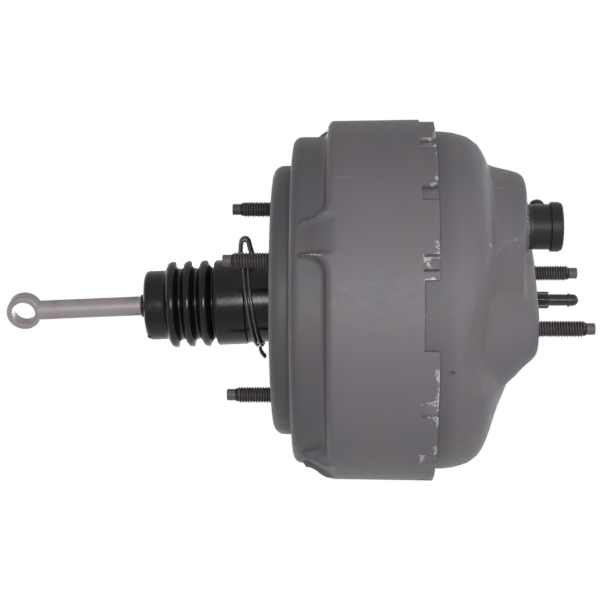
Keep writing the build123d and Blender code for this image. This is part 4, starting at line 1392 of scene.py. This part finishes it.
@dataclass(frozen=True)
class Coil:
    """One coil spring, listed with its joint and the joint's travel."""

    node: str
    body: str
    joint: str
    fixed_x: float
    travel: float
    radius: float
    wire_r: float
    turns: int
    y: float = 0.0
    z: float = 0.0


@dataclass
class Springs:
    """The coil springs inside the booster and the check valve."""

    wardrobe: Wardrobe
    coils: tuple[Coil, ...] = (
        Coil("return_spring", "housing", "piston_stroke", 149.4, 34.0, 28.0, 1.75, 5),
        Coil("valve_return_spring", "power_piston", "plunger_travel", -24.1, 2.5, 9.9, 0.7, 3),
        Coil("check_valve_spring", "housing", "check_valve_lift", 166.2, 1.8, 4.6, 0.45, 3,
             -10.0, 50.9))

    def helix(self, coil: Coil, start: float, end: float) -> list[Vector]:
        """Points of a spring's wire between two ends, with a closed turn at each."""
        points = []
        per_turn = 12
        steps = per_turn * (coil.turns + 2)
        for step in range(steps + 1):
            turn = 2 * pi * step / per_turn
            share = min(1.0, max(0.0, (step / per_turn - 1) / coil.turns))
            lift = share + 0.02 * (step / steps - 0.5)
            x = start + coil.wire_r + (end - start - 2 * coil.wire_r) * min(1.0, max(0.0, lift))
            points.append(Vector((x, coil.y + coil.radius * cos(turn),
                                  coil.z + coil.radius * sin(turn))))
        return points

    def build(self) -> list[bpy.types.Object]:
        """Builds the springs.

        Returns:
            The finished pieces.
        """
        pieces = []
        for coil in self.coils:
            low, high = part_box(coil.node)
            mesh = wire(self.helix(coil, low[0] / MM, high[0] / MM), coil.wire_r)
            piece = to_piece(coil.node + "_wound", mesh, 60.0)
            self.wardrobe.dress(piece, Slot.SPRING)
            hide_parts(coil.node)
            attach(piece, coil.body)
            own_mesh(piece)
            pieces.append(piece)
        return pieces


# ---------------------------------------------------------------- carried nodes
def carried_slots(record: dict) -> dict[str, Slot]:
    """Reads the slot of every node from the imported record."""
    return {part["node"]: Slot(part["material_slot"]) for part in record["subparts"]}


# ---------------------------------------------------------------- studio
@dataclass
class Studio:
    """Camera, floor and soft lights."""

    distance: float = 1.006
    elevation: float = 23.1
    camera_x: float = 0.0487
    aim: Vector = field(default_factory=lambda: Vector((0.0154, 0.0, 0.0)))
    lens: float = 99.5
    floor_z: float = -0.80
    ambient: float = 0.025

    def camera(self) -> None:
        """Places the camera with its right side along the booster's axis."""
        data = bpy.data.cameras.new("camera")
        data.lens = self.lens
        data.sensor_width = 36.0
        data.clip_end = 20.0
        camera = bpy.data.objects.new("camera", data)
        bpy.context.scene.collection.objects.link(camera)
        lift = radians(self.elevation)
        spot = Vector((self.camera_x, -self.distance * cos(lift), self.distance * sin(lift)))
        forward = (self.aim - spot).normalized()
        right = (AXIS - forward * AXIS.dot(forward)).normalized()
        up = right.cross(forward)
        turn = Matrix((right, up, -forward)).transposed().to_4x4()
        camera.matrix_world = Matrix.Translation(spot) @ turn
        bpy.context.scene.camera = camera

    def light(self, name: str, spot: tuple[float, float, float], size: tuple[float, float],
              power: float) -> None:
        """Adds a soft lamp that faces the booster.

        Args:
            name: Name of the lamp.
            spot: Its place in metres.
            size: Its width and height in metres.
            power: Its power in watts.
        """
        data = bpy.data.lights.new(name, "AREA")
        data.shape = "RECTANGLE"
        data.size, data.size_y = size
        data.energy = power
        lamp = bpy.data.objects.new(name, data)
        bpy.context.scene.collection.objects.link(lamp)
        lamp.location = spot
        aim = Vector((0.03, 0.0, 0.0)) - Vector(spot)
        lamp.rotation_mode = "QUATERNION"
        lamp.rotation_quaternion = aim.to_track_quat("-Z", "Y")

    def world(self) -> None:
        """Lights the scene softly and shows white behind it."""
        world = bpy.data.worlds.new("studio")
        bpy.context.scene.world = world
        world.use_nodes = True
        graph = Graph(world.node_tree)
        back = world.node_tree.nodes["Background"]
        back.inputs["Color"].default_value = (1.0, 1.0, 1.0, 1.0)
        graph.feed(back.inputs["Strength"],
                   graph.ramp(graph.seen(), 0.0, 1.0, self.ambient, 1.0))

    def floor(self) -> None:
        """Adds the pale floor, which keeps the booster's shadow."""
        mesh = bmesh.new()
        bmesh.ops.create_grid(mesh, x_segments=8, y_segments=8, size=1.2)
        bmesh.ops.translate(mesh, vec=(0.0, 0.0, self.floor_z), verts=mesh.verts)
        floor = to_piece("floor", mesh)
        material = bpy.data.materials.new("Pale floor")
        material.use_nodes = True
        graph = Graph(material.node_tree)
        shader = material.node_tree.nodes["Principled BSDF"]
        shader.inputs["Base Color"].default_value = (0.62, 0.62, 0.62, 1.0)
        shader.inputs["Roughness"].default_value = 0.9
        seen = graph.seen()
        glow = graph.add("ShaderNodeEmission")
        graph.feed(glow.inputs["Color"], (1.0, 1.0, 1.0, 1.0))
        graph.feed(glow.inputs["Strength"], graph.math("MULTIPLY", seen, 0.97))
        blend = graph.add("ShaderNodeAddShader")
        graph.feed(blend.inputs[0], shader.outputs[0])
        graph.feed(blend.inputs[1], glow.outputs[0])
        output = material.node_tree.nodes["Material Output"]
        graph.feed(output.inputs["Surface"], blend.outputs[0])
        floor.data.materials.append(material)

    def build(self) -> None:
        """Sets up the whole studio."""
        scene = bpy.context.scene
        scene.view_settings.view_transform = "Standard"
        self.camera()
        self.world()
        self.floor()
        self.light("key", (0.06, -1.06, 0.49), (0.40, 0.32), 10.2)
        self.light("fill", (-1.0, -0.8, 0.20), (0.6, 0.6), 0.8)
        self.light("back", (0.05, 1.45, -0.60), (0.9, 0.8), 21.0)
        self.light("firewall side", (-1.35, 0.65, -0.20), (0.8, 0.8), 9.0)
        self.light("cylinder side", (1.35, 0.95, 0.10), (0.8, 0.8), 5.0)
        self.light("side", (0.90, -0.70, 0.40), (0.5, 0.5), 4.2)


def main() -> None:
    """Builds the booster's looks and reports each piece."""
    logging.basicConfig(level=logging.INFO, format="%(name)s: %(message)s")
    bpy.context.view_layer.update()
    wardrobe = Wardrobe()
    Studio().build()
    slots = carried_slots(frame["record"])
    for name, node in frame["nodes"].items():
        wardrobe.dress(node, slots[name])
    for assembly in (RearShell(wardrobe), FrontShell(wardrobe), Studs(wardrobe), Boot(wardrobe),
                     BootClip(wardrobe), Springs(wardrobe)):
        for piece in assembly.build():
            log_out.info("%s: %d faces", piece.name, len(piece.data.polygons))


if __name__ == "__main__":
    main()
